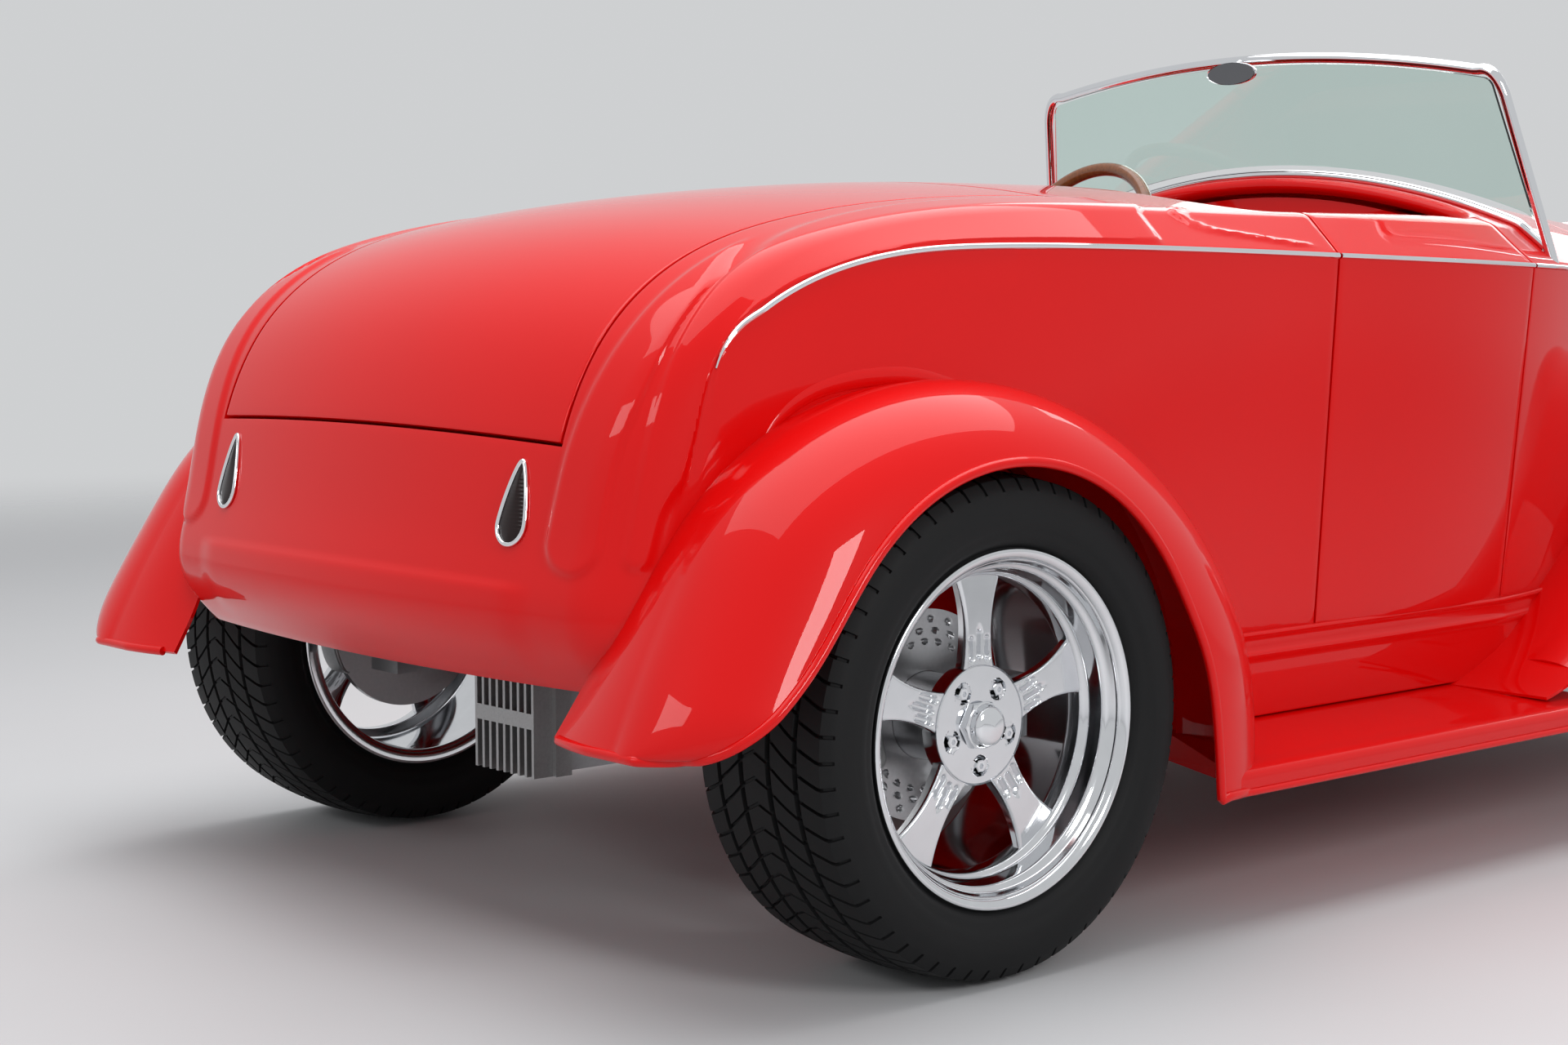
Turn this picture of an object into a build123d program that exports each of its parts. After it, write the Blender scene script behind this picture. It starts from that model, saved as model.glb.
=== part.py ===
from build123d import *
from collections import namedtuple
from math import atan2, cos, hypot, radians, sin, tan
import os

# A fendered street rod roadster in millimetres: +X forward, +Y to the car's left, +Z up,
# origin on the floor below the middle of its length. Stations count forward from the rear axle.
os.makedirs("parts", exist_ok=True)

# Axles and overall layout
REAR_AXLE_X = -1301
WHEELBASE = 2692
FRONT_AXLE_X = REAR_AXLE_X + WHEELBASE
SIDES = {"left": 1, "right": -1}
SEAT_GAP = 0.3
SKIN_GAP = 0.6
SHUT_GAP = 6

# Wheels: tyre radius and width, rim lip radius and width, half track
Wheel = namedtuple("Wheel", "tyre_r tyre_w lip_r rim_w half_track hub_in disc_in disc_r")
REAR = Wheel(352, 275, 248, 248, 713, 605, 656, 150)
FRONT = Wheel(312, 215, 234, 203, 722, 668, 676, 140)
RIM_WALL, RIM_SEAT = 8, 18
SPOKES, SPOKE_FACE, SPOKE_DEPTH = 5, 58, 26
HUB_R, HUB_FACE_R = 62, 84
DISC_T = 14
LUG_PCD_R, LUG_R, LUG_POCKET_R, LUG_STAND = 57.15, 9, 13, 6
CAP_R, CAP_STAND = 34, 30

# Body skin: sections turn about a line through the boot, then run forward upright.
# x and z are the section's origin, turn its direction above the horizontal, and the other
# columns are distances along that direction and half widths: foot, belt, edge and crown.
Skin = namedtuple("Skin", "x z turn foot foot_y belt belt_y edge edge_y crown corner_r")
BOOT_X, BOOT_Z = 150, 430
BODY_WALL = 40
BELT_SHIFT = 0.45
TAIL_SKIN = [
    Skin(BOOT_X, BOOT_Z, 182, 60, 622, 420, 622, 592, 588, 638, 110),
    Skin(BOOT_X, BOOT_Z, 175, 60, 624, 450, 624, 650, 598, 697, 112),
    Skin(BOOT_X, BOOT_Z, 166, 60, 626, 500, 626, 656, 600, 700, 112),
    Skin(BOOT_X, BOOT_Z, 153, 60, 628, 560, 628, 674, 598, 718, 105),
    Skin(BOOT_X, BOOT_Z, 140, 60, 630, 640, 630, 692, 592, 737, 78),
    Skin(BOOT_X, BOOT_Z, 127, 60, 632, 638, 632, 680, 588, 721, 64),
    Skin(BOOT_X, BOOT_Z, 110, 60, 633, 600, 636, 642, 586, 682, 60),
    Skin(BOOT_X, BOOT_Z, 90, 60, 634, 580, 640, 632, 584, 673, 60),
]
SILL_TOP = 385
CABIN_SKIN = [
    Skin(BOOT_X, 0, 90, SILL_TOP, 633, 1010, 640, 1062, 584, 1103, 60),
    Skin(450, 0, 90, SILL_TOP, 616, 1010, 646, 1070, 577, 1122, 60),
    Skin(950, 0, 90, SILL_TOP, 603, 1000, 650, 1066, 566, 1128, 55),
    Skin(1500, 0, 90, SILL_TOP, 598, 985, 652, 1058, 562, 1156, 50),
    Skin(1950, 0, 90, SILL_TOP, 480, 972, 540, 1038, 462, 1128, 50),
]
HOOD_WALL = 14
HOOD_SKIN = [
    Skin(1950, 0, 90, 500, 487, 972, 540, 1038, 462, 1128, 50),
    Skin(2290, 0, 90, 560, 382, 958, 425, 1020, 350, 1098, 48),
    Skin(2760, 0, 90, 640, 232, 938, 268, 1000, 198, 1058, 45),
]

# Openings in the skin, as stations and heights
ARCH_R = 405
DOOR_REAR, DOOR_FRONT = 950, 1500
DOOR_BEVEL = 0.28
HINGE_Y = 660
COCKPIT_REAR, COCKPIT_FRONT, COCKPIT_HALF = 790, 1560, 546
LID_TURN, LID_FRONT, LID_HALF = 153, 450, 450
BELT_H, BELT_STAND = 8, 4

# Hinge lines and their barrels; the door's leans out with the flank
HINGE_R, LEG_DROP, LEG_RUN = 4, 16, 13
DOOR_HINGE_X, DOOR_HINGE_Z, DOOR_HINGE_LEAN = 1503, 985, 0.0883
DOOR_HINGE_SPANS = [(460, 500), (900, 940)]
LID_HINGE_X, LID_HINGE_Z = 453, 1126
HOOD_HINGE_X, HOOD_HINGE_Z = 1953, 1132
TOP_HINGE_SPAN = (40, 90)

# Fenders: lip and crown as stations and heights from their own axle, then half widths
Fender = namedtuple("Fender", "lip_x lip_z crown_x crown_z inner drop ridge outer")
FENDER_WALL = 10
Sweep = namedtuple("Sweep", "turn lip_r crown_r inner drop ridge outer")
REAR_FENDER_SWEEPS = [
    Sweep(-12, 424, 655, 560, 10, 660, 862),
    Sweep(2, 398, 632, 560, 10, 660, 862),
    Sweep(20, 372, 572, 560, 10, 660, 862),
    Sweep(42, 362, 512, 560, 10, 660, 862),
    Sweep(66, 363, 478, 560, 10, 660, 862),
    Sweep(90, 366, 468, 560, 10, 660, 862),
    Sweep(115, 370, 478, 560, 12, 660, 862),
    Sweep(138, 372, 494, 560, 16, 665, 862),
    Sweep(156, 384, 502, 545, 30, 675, 862),
    Sweep(169, 428, 528, 530, 40, 680, 860),
    Sweep(179, 510, 562, 520, 30, 685, 852),
]
FENDER_ROOT = 386.3
FENDER_SINK = 60
APRON_T, APRON_LOW = 8, 332
FRONT_FENDER_ROWS = [
    Fender(-1200, 203, -1225, 290, 560, 6, 680, 858),
    Fender(-1080, 205, -1130, 338, 540, 8, 682, 859),
    Fender(-940, 208, -1010, 400, 480, 14, 684, 860),
    Fender(-660, 218, -780, 520, 410, 40, 688, 862),
    Fender(-470, 250, -590, 606, FENDER_ROOT, 60, 690, 864),
    Fender(-352, 352, -430, 678, FENDER_ROOT, 80, 690, 866),
    Fender(-214, 574, -276, 724, FENDER_ROOT, 100, 690, 868),
    Fender(0, 652, 0, 744, FENDER_ROOT, 108, 690, 868),
    Fender(172, 606, 218, 694, FENDER_ROOT, 106, 690, 866),
    Fender(300, 484, 392, 540, FENDER_ROOT, 98, 688, 862),
    Fender(374, 344, 474, 352, FENDER_ROOT, 82, 684, 856),
]

# Running boards and sills
BOARD_START, BOARD_END = 432, FRONT_AXLE_X - REAR_AXLE_X - 1230
BOARD_OUTER = 856
BOARD_BOTTOM, BOARD_TOP, BOARD_LIP = 200, 250, 232
SILL_OUTER, SILL_INNER, SILL_BOTTOM = 603, 545, 262
BOARD_INNER = SILL_OUTER + SEAT_GAP
FLOOR_Z, FLOOR_T = 330, 12
BOOT_FLOOR_Z = 540
BOOT_HALF = 530
HOUSE_R, HOUSE_T, HOUSE_LOW = 400, 10, 430
TUNNEL_HALF, TUNNEL_TOP = 150, 500
FIREWALL = 1940

# Chassis
RAIL_Y, RAIL_W = 360, 52
RAIL_TOP = FLOOR_Z - SEAT_GAP
AXLE_TUBE_R = 38
COVER_HALF, COVER_LOW, COVER_HIGH = 75, 205, 376
COVER_FINS = 9

# Windshield, measured along its raked plane from the plane's origin on the cowl
SCREEN_X, SCREEN_Z, SCREEN_RAKE = 1604, 1050, 15
SCREEN_FRAME, SCREEN_DEPTH, GLASS_T = 20, 22, 6
SCREEN_FOOT, SCREEN_SIDE, SCREEN_TOP = -80, 298, 352
SCREEN_FOOT_HALF, SCREEN_TOP_HALF, SCREEN_CORNER = 626, 553, 44
MIRROR_Y, MIRROR_Z, MIRROR_HALF_W, MIRROR_HALF_H = 20, 1354, 62, 22

# Chrome belt strip along the flanks, as stations and heights
BELT_LINE = [
    (-365, 858), (-313, 895), (-242, 937), (-154, 970), (-48, 995), (135, 1008),
    (494, 1010), (975, 1000), (1290, 991), (1640, 980), (1944, 972),
]
HOOD_LINE = [(1951, 972), (2290, 958), (2690, 940)]

# Steering
KINGPIN_Y, KINGPIN_R = 625, 12
ARM_BACK, ARM_IN, ARM_LOW, ARM_HIGH = 130, 590, 234, 250
COLUMN_ANGLE = 28
WHEEL_HUB_X, WHEEL_HUB_Y, WHEEL_HUB_Z = 1396, 340, 1030
STEERING_R, STEERING_RIM_R = 170, 14


def section_plane(x, z, turn):
    """A plane across the car at a station, its second axis pointing up at the turn."""
    a = radians(turn)
    return Plane(origin=(REAR_AXLE_X + x, 0, z), x_dir=(0, 1, 0), z_dir=(sin(a), 0, -cos(a)))


def shoulder(flank, edge, crown, corner_r):
    """Start, middle and end of the arc that rounds a flank into the crown's arc at the edge."""
    rise = crown - edge[1]
    crown_r = (edge[0] ** 2 + rise**2) / (2 * rise)
    corner = Vector(*edge)
    centre = Vector(0, crown - crown_r)
    down = (Vector(*flank) - corner).normalized()
    radial = (corner - centre).normalized()
    across = Vector(-radial.Y, radial.X)
    half = radians(down.get_angle(across)) / 2
    run = corner_r / tan(half)
    inward = (down + across).normalized()
    middle = corner + inward * (corner_r / sin(half) - corner_r)
    turn = atan2(radial.X, radial.Y) - run / crown_r
    end = centre + Vector(sin(turn), cos(turn)) * crown_r
    return corner + down * run, middle, end


def skin_form(rows, grow):
    """The solid inside a skin's outer face, moved out by grow."""
    with BuildPart() as form:
        for row in rows:
            crown, foot = row.crown + grow, row.foot + min(grow, 0) / 2
            belt = (row.belt_y + grow, row.belt + grow * BELT_SHIFT)
            edge = (row.edge_y + grow, row.edge + grow)
            start, middle, end = shoulder(belt, edge, crown, max(row.corner_r + grow, 12))
            with BuildSketch(section_plane(row.x, row.z, row.turn)):
                with BuildLine():
                    Polyline((row.foot_y + grow, foot), belt, (start.X, start.Y))
                    ThreePointArc(start, middle, end)
                    ThreePointArc(end, (0, crown), (-end.X, end.Y))
                    ThreePointArc((-end.X, end.Y), (-middle.X, middle.Y), (-start.X, start.Y))
                    Polyline((-start.X, start.Y), (-belt[0], belt[1]), (-row.foot_y - grow, foot))
                    Line((-row.foot_y - grow, foot), (row.foot_y + grow, foot))
                make_face()
        loft()
    return form.part


def slab(x0, x1, y0, y1, z0, z1):
    """A box between stations, half widths and heights."""
    with BuildPart() as box:
        with Locations((REAR_AXLE_X + (x0 + x1) / 2, (y0 + y1) / 2, (z0 + z1) / 2)):
            Box(x1 - x0, y1 - y0, z1 - z0)
    return box.part


def side_prism(points, y0, y1):
    """A prism across the car with its outline given as stations and heights."""
    with BuildPart() as prism:
        with BuildSketch(Plane((REAR_AXLE_X, y0, 0), x_dir=(1, 0, 0), z_dir=(0, -1, 0))):
            with BuildLine():
                Polyline(*points, close=True)
            make_face()
        extrude(amount=-(y1 - y0))
    return prism.part


def plan_prism(points, z0, z1):
    """An upright prism with its outline given as stations and half widths."""
    with BuildPart() as prism:
        with BuildSketch(Plane((REAR_AXLE_X, 0, z0))):
            with BuildLine():
                Polyline(*points, close=True)
            make_face()
        extrude(amount=z1 - z0)
    return prism.part


def save(part, name):
    """Label a finished piece and write it."""
    part.label = name
    export_step(part, f"parts/{name}.step")


def body_form(grow, tail_rows):
    """The body's solid with its skin moved out by grow, tail and cabin together."""
    with BuildPart() as form:
        add(skin_form(tail_rows, grow))
        add(skin_form(CABIN_SKIN, grow))
    return form.part


# Body skin as nested forms: outer face, wall, lining, seat and trim
TAIL_CORE = [
    TAIL_SKIN[0]._replace(turn=TAIL_SKIN[0].turn + 2),
    *TAIL_SKIN[1:],
    TAIL_SKIN[-1]._replace(x=BOOT_X + 5),
]
lining = body_form(-BODY_WALL - SEAT_GAP, TAIL_CORE)
seat_form = body_form(SKIN_GAP, TAIL_SKIN)
hood_seat = skin_form(HOOD_SKIN, SKIN_GAP)


def door_prism(side, grow):
    """The part of the body between a door's shut lines, as seen from above."""
    y_in, y_out = 380, 760
    back_in = DOOR_REAR + DOOR_BEVEL * (HINGE_Y - y_in)
    back_out = DOOR_REAR + DOOR_BEVEL * (HINGE_Y - y_out)
    points = [
        (back_in - grow, side * y_in), (DOOR_FRONT + grow, side * y_in),
        (DOOR_FRONT + grow, side * y_out), (back_out - grow, side * y_out),
    ]
    return plan_prism(points, SILL_TOP + SHUT_GAP if grow == 0 else 0, 1300)


def lid_prism(grow):
    """The boot lid's wedge: from its lower shut line over the deck to its hinge line."""
    a = radians(LID_TURN)
    near, far = 520, 900
    points = [
        (BOOT_X + near * cos(a) - grow * sin(a), BOOT_Z + near * sin(a) + grow * cos(a)),
        (BOOT_X + far * cos(a) - grow * sin(a), BOOT_Z + far * sin(a) + grow * cos(a)),
        (BOOT_X - 800, 1300), (LID_FRONT + grow, 1300), (LID_FRONT + grow, 950), (-100, 900),
    ]
    return side_prism(points, -LID_HALF - grow, LID_HALF + grow)


def rod(start, end, r):
    """A round bar between two points given as stations, half widths and heights."""
    a, b = Vector(REAR_AXLE_X, 0, 0) + Vector(*start), Vector(REAR_AXLE_X, 0, 0) + Vector(*end)
    with BuildPart() as bar:
        with BuildSketch(Plane(origin=a, z_dir=b - a)):
            Circle(r)
        extrude(amount=(b - a).length)
    return bar.part


def top_barrel(x, z, ahead):
    """The barrels of a crosswise hinge on legs that reach down to a panel ahead or behind."""
    with BuildPart() as barrels:
        for side in SIDES.values():
            near, far = sorted((side * TOP_HINGE_SPAN[0], side * TOP_HINGE_SPAN[1]))
            with Locations((REAR_AXLE_X + x, (near + far) / 2, z)):
                Cylinder(HINGE_R, far - near, rotation=(90, 0, 0))
            start, end = sorted((x, x + ahead * LEG_RUN))
            add(slab(start, end, near, far, z - LEG_DROP, z))
    return barrels.part


def top_pad(x, z, ahead):
    """The pads that a crosswise hinge's barrels turn against on the neighbouring panel."""
    with BuildPart() as pads:
        for side in SIDES.values():
            near, far = sorted((side * TOP_HINGE_SPAN[0], side * TOP_HINGE_SPAN[1]))
            start, end = sorted((x - ahead * (HINGE_R + SEAT_GAP), x - ahead * (LEG_RUN + 4)))
            add(slab(start, end, near, far, z - LEG_DROP, z + 2))
    return pads.part


def door_barrel(side, low, high):
    """A door hinge's barrel with its leg on the door's skin."""
    y_low = HINGE_Y - (DOOR_HINGE_Z - low) * DOOR_HINGE_LEAN
    y_high = HINGE_Y - (DOOR_HINGE_Z - high) * DOOR_HINGE_LEAN
    with BuildPart() as barrel:
        add(rod((DOOR_HINGE_X, side * y_low, low), (DOOR_HINGE_X, side * y_high, high), HINGE_R))
        near, far = sorted((side * (y_low - LEG_DROP), side * y_low))
        add(slab(DOOR_HINGE_X - LEG_RUN, DOOR_HINGE_X, near, far, low + 2, high - 2))
    return barrel.part


def door_pad(side, low, high):
    """The pad on the cowl that a door hinge's barrel turns against."""
    y_low = HINGE_Y - (DOOR_HINGE_Z - low) * DOOR_HINGE_LEAN
    start = DOOR_HINGE_X + HINGE_R + SEAT_GAP
    near, far = sorted((side * (y_low - LEG_DROP), side * (y_low + 3)))
    return slab(start, DOOR_HINGE_X + LEG_RUN + 4, near, far, low, high)


def ribbon(points, width):
    """An upright slice across the whole car along a line of stations and heights."""
    upper, lower = [], []
    for i, point in enumerate(points):
        ahead, behind = points[min(i + 1, len(points) - 1)], points[max(i - 1, 0)]
        run = Vector(ahead[0] - behind[0], ahead[1] - behind[1]).normalized() * (width / 2)
        upper.append((point[0] - run.Y, point[1] + run.X))
        lower.insert(0, (point[0] + run.Y, point[1] - run.X))
    return side_prism(upper + lower, -800, 800)


# The whole skin in one shell, with the cockpit and wheel arches open
with BuildPart() as skin:
    add(body_form(0, TAIL_SKIN))
    add(body_form(-BODY_WALL, TAIL_CORE), mode=Mode.SUBTRACT)
    with BuildSketch(Plane.XY.offset(900)):
        with Locations((REAR_AXLE_X + (COCKPIT_REAR + COCKPIT_FRONT) / 2, 0)):
            RectangleRounded(COCKPIT_FRONT - COCKPIT_REAR, 2 * COCKPIT_HALF, 120)
    extrude(amount=400, mode=Mode.SUBTRACT)
    for side in SIDES.values():
        with Locations((REAR_AXLE_X, side * (BOOT_HALF + 200), REAR.tyre_r)):
            Cylinder(ARCH_R, 400, rotation=(90, 0, 0), mode=Mode.SUBTRACT)

# Shut lines part it into the quarters with the tail, the cowl, the doors and the boot lid
with BuildPart() as fixed:
    add(skin.part)
    for side in SIDES.values():
        add(door_prism(side, SHUT_GAP), mode=Mode.SUBTRACT)
    add(lid_prism(SHUT_GAP), mode=Mode.SUBTRACT)
rear_shell, front_shell = fixed.part.solids().sort_by(SortBy.VOLUME)[-2:].sort_by(Axis.X)
with BuildPart() as quarters:
    add(rear_shell)
    add(top_pad(LID_HINGE_X, LID_HINGE_Z, -1))
save(quarters.part, "rear_quarters")
with BuildPart() as cowl:
    add(front_shell)
    add(top_pad(HOOD_HINGE_X, HOOD_HINGE_Z, 1))
    for side in SIDES.values():
        for low, high in DOOR_HINGE_SPANS:
            add(door_pad(side, low, high))
save(cowl.part, "cowl")

with BuildPart() as lid:
    add(skin.part)
    add(lid_prism(0), mode=Mode.INTERSECT)
    add(top_barrel(LID_HINGE_X, LID_HINGE_Z, -1))
save(lid.part, "deck_lid")

with BuildPart() as strips:
    add(body_form(SKIN_GAP + BELT_STAND, TAIL_SKIN))
    add(seat_form, mode=Mode.SUBTRACT)
    add(ribbon(BELT_LINE, BELT_H), mode=Mode.INTERSECT)
    add(skin.part, mode=Mode.SUBTRACT)
for name, side in SIDES.items():
    with BuildPart() as door_strip:
        add(strips.part)
        add(door_prism(side, 0), mode=Mode.INTERSECT)
    with BuildPart() as door:
        add(skin.part)
        add(door_prism(side, 0), mode=Mode.INTERSECT)
        for low, high in DOOR_HINGE_SPANS:
            add(door_barrel(side, low, high))
        add(door_strip.part)
    save(door.part, f"door_{name}")

# Hood: a lifting top above the belt and fixed sides below it, cut back at the raked shell
SHELL_RAKE = 14
SHELL_X, SHELL_TOP = 2690, 1074
HOOD_SPLIT_REAR, HOOD_SPLIT_FRONT = 990, 956


def ahead_of_shell(offset):
    """Everything ahead of the raked plane that lies an offset behind the grille shell."""
    lean = tan(radians(SHELL_RAKE))
    low, high = 300, 1200
    points = [
        (SHELL_X - offset + (SHELL_TOP - low) * lean, low), (SHELL_X + 900, low),
        (SHELL_X + 900, high), (SHELL_X - offset + (SHELL_TOP - high) * lean, high),
    ]
    return side_prism(points, -600, 600)


def above_split(drop):
    """Everything above the hood's split line lowered by a drop."""
    points = [(1900, HOOD_SPLIT_REAR - drop), (2900, HOOD_SPLIT_FRONT - drop), (2900, 1300), (1900, 1300)]
    return side_prism(points, -700, 700)


with BuildPart() as hood:
    add(skin_form(HOOD_SKIN, 0))
    add(skin_form(HOOD_SKIN, -HOOD_WALL), mode=Mode.SUBTRACT)
HOOD_REAR = 1950
with BuildPart() as hood_top:
    add(hood.part)
    add(above_split(0), mode=Mode.INTERSECT)
    add(ahead_of_shell(SHUT_GAP), mode=Mode.SUBTRACT)
    add(slab(1900, HOOD_REAR + SHUT_GAP, -800, 800, 0, 1300), mode=Mode.SUBTRACT)
    add(top_barrel(HOOD_HINGE_X, HOOD_HINGE_Z, 1))
save(hood_top.part, "hood_top")
with BuildPart() as hood_sides:
    add(hood.part)
    add(above_split(SHUT_GAP), mode=Mode.SUBTRACT)
    add(ahead_of_shell(SEAT_GAP), mode=Mode.SUBTRACT)
    add(slab(1900, HOOD_REAR + SEAT_GAP, -800, 800, 0, 1300), mode=Mode.SUBTRACT)
save(hood_sides.part, "hood_sides")

with BuildPart() as hood_strips:
    add(skin_form(HOOD_SKIN, SKIN_GAP + BELT_STAND))
    add(hood_seat, mode=Mode.SUBTRACT)
    add(ribbon(HOOD_LINE, BELT_H), mode=Mode.INTERSECT)
    add(ahead_of_shell(SEAT_GAP), mode=Mode.SUBTRACT)
with BuildPart() as belt_strips:
    add(strips.part)
    for side in SIDES.values():
        add(door_prism(side, SHUT_GAP), mode=Mode.SUBTRACT)
    add(hood_strips.part)
save(belt_strips.part, "belt_strips")

# Grille shell on its raked plane: a shield outline round upright bars
shell_plane = Plane(
    origin=(REAR_AXLE_X + SHELL_X, 0, SHELL_TOP),
    x_dir=(0, 1, 0), z_dir=(cos(radians(SHELL_RAKE)), 0, sin(radians(SHELL_RAKE))),
)
SHELL_DEPTH, SHELL_RIM = 70, 24
SHELL_HALF, SHELL_DROP, SHELL_LOW_HALF = 262, 640, 120
BAR_PITCH, BAR_W, BAR_DEPTH = 18, 5, 24


def shield(inset):
    """The shell's outline, drawn in by an inset."""
    half, low = SHELL_HALF - inset, SHELL_LOW_HALF - inset * 0.8
    top, shoulder, foot = -inset, -96, -SHELL_DROP + inset
    with BuildSketch() as face:
        with BuildLine():
            ThreePointArc((-half + 62, top - 22), (0, top), (half - 62, top - 22))
            ThreePointArc((half - 62, top - 22), (half - 14, top - 50), (half, shoulder - inset))
            ThreePointArc((half, shoulder - inset), (half - 22, -340), (low, foot + 40))
            ThreePointArc((low, foot + 40), (0, foot), (-low, foot + 40))
            ThreePointArc((-low, foot + 40), (-half + 22, -340), (-half, shoulder - inset))
            ThreePointArc((-half, shoulder - inset), (-half + 14, top - 50), (-half + 62, top - 22))
        make_face()
    return face.sketch


with BuildPart() as shell:
    with BuildSketch(shell_plane):
        add(shield(0))
        add(shield(SHELL_RIM), mode=Mode.SUBTRACT)
    extrude(amount=SHELL_DEPTH)
save(shell.part, "grille_shell")

with BuildPart() as bars:
    with BuildSketch(shell_plane.offset(SHELL_DEPTH / 2 - BAR_DEPTH / 2)):
        with Locations((0, -SHELL_DROP / 2)):
            with GridLocations(BAR_PITCH, 0, 2 * int(SHELL_HALF / BAR_PITCH) + 1, 1):
                Rectangle(BAR_W, SHELL_DROP)
        for drop in (0.28, 0.62):
            with Locations((0, -SHELL_DROP * drop)):
                Rectangle(2 * SHELL_HALF, BAR_W)
        add(shield(SHELL_RIM + SEAT_GAP), mode=Mode.INTERSECT)
    extrude(amount=BAR_DEPTH)
save(bars.part, "grille_bars")

with BuildPart() as radiator:
    with BuildSketch(shell_plane.offset(-60)):
        with Locations((0, -SHELL_DROP * 0.5)):
            Trapezoid(2 * 170, SHELL_DROP * 0.78, 84, rotation=180)
    extrude(amount=45)
save(radiator.part, "radiator")


def fender_form(rows, axle_x, side, depth):
    """The solid under a fender's skin, each section in the plane through its lip and crown lines.

    A depth of the wall gives the hollow, which also runs on past the lip and the root.
    """
    over = 3 * depth
    sink = -FENDER_SINK - over
    with BuildPart() as form:
        for row in rows:
            rise = Vector(row.crown_x - row.lip_x, 0, row.crown_z - row.lip_z)
            up = rise / rise.length
            high = rise.length - depth
            lip_y, inner = row.outer - depth, row.inner - over
            reach = row.ridge - row.inner
            sweep_r = (reach**2 + row.drop**2) / (2 * row.drop) - depth
            sweep = atan2(row.ridge - inner, sweep_r - row.drop)
            slant = cos(radians(45))
            plane = Plane(
                origin=(axle_x + row.lip_x, 0, row.lip_z), x_dir=(0, 1, 0), z_dir=(up.Z, 0, -up.X),
            )

            def inboard(turn):
                """A point on the arc that falls from the ridge to the root."""
                return side * (row.ridge - sweep_r * sin(turn)), high - sweep_r * (1 - cos(turn))

            root = inboard(sweep)
            brow = (side * (row.ridge + (lip_y - row.ridge) * slant), high * slant)
            with BuildSketch(plane):
                with BuildLine():
                    Line((root[0], sink), (side * lip_y, -over))
                    if over:
                        Line((side * lip_y, -over), (side * lip_y, 0))
                    ThreePointArc((side * lip_y, 0), brow, inboard(0))
                    ThreePointArc(inboard(0), inboard(sweep / 2), root)
                    Line(root, (root[0], sink))
                make_face()
        loft()
    return form.part


def fender_shell(rows, axle_x, side):
    """A fender's pressed shell before it is trimmed to the body."""
    with BuildPart() as panel:
        add(fender_form(rows, axle_x, side, 0))
        add(fender_form(rows, axle_x, side, FENDER_WALL), mode=Mode.SUBTRACT)
    return panel.part


rear_rows = []
for row in REAR_FENDER_SWEEPS:
    dx, dz = cos(radians(row.turn)), sin(radians(row.turn))
    rear_rows.append(Fender(
        row.lip_r * dx, REAR.tyre_r + row.lip_r * dz, row.crown_r * dx, REAR.tyre_r + row.crown_r * dz,
        row.inner, row.drop, row.ridge, row.outer,
    ))
sill_space = slab(BOARD_START - 60, 2000, -SILL_OUTER - SEAT_GAP, SILL_OUTER + SEAT_GAP, 0, SILL_TOP + 1)
board_space = slab(BOARD_START - SEAT_GAP, 3000, -900, 900, 0, BOARD_TOP + SEAT_GAP)
RIGHT = SIDES["right"]
with BuildPart() as rear_fender:
    add(fender_shell(rear_rows, REAR_AXLE_X, RIGHT))
    add(seat_form, mode=Mode.SUBTRACT)
    add(board_space, mode=Mode.SUBTRACT)
    add(sill_space, mode=Mode.SUBTRACT)

roots = []
for row in FRONT_FENDER_ROWS:
    if row.inner == FENDER_ROOT:
        rise = hypot(row.crown_x - row.lip_x, row.crown_z - row.lip_z)
        part_up = (rise - row.drop) / rise
        root_x = WHEELBASE + row.lip_x + (row.crown_x - row.lip_x) * part_up
        roots.append((root_x, row.lip_z + (row.crown_z - row.lip_z) * part_up - 2))
apron = [*roots, (roots[-1][0], APRON_LOW), (roots[0][0], APRON_LOW)]
with BuildPart() as front_fender:
    add(fender_shell(FRONT_FENDER_ROWS, FRONT_AXLE_X, RIGHT))
    add(side_prism(apron, -FENDER_ROOT - APRON_T, -FENDER_ROOT))
    add(seat_form, mode=Mode.SUBTRACT)
    add(hood_seat, mode=Mode.SUBTRACT)
    add(sill_space, mode=Mode.SUBTRACT)

with BuildPart() as board:
    with BuildSketch(section_plane(BOARD_START, 0, 90)):
        with BuildLine():
            Polyline(
                (-BOARD_INNER, BOARD_BOTTOM), (-BOARD_INNER, BOARD_TOP),
                (40 - BOARD_OUTER, BOARD_LIP + 6), (-BOARD_OUTER, BOARD_LIP - 6),
                (-BOARD_OUTER, BOARD_BOTTOM), close=True,
            )
        make_face()
    extrude(amount=BOARD_END - BOARD_START)

for part, name in (
    (rear_fender.part, "fender_rear"), (front_fender.part, "fender_front"), (board.part, "running_board"),
):
    panel = part.solids().sort_by(SortBy.VOLUME)[-1]
    save(panel, f"{name}_right")
    save(mirror(panel, about=Plane.XZ), f"{name}_left")


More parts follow.
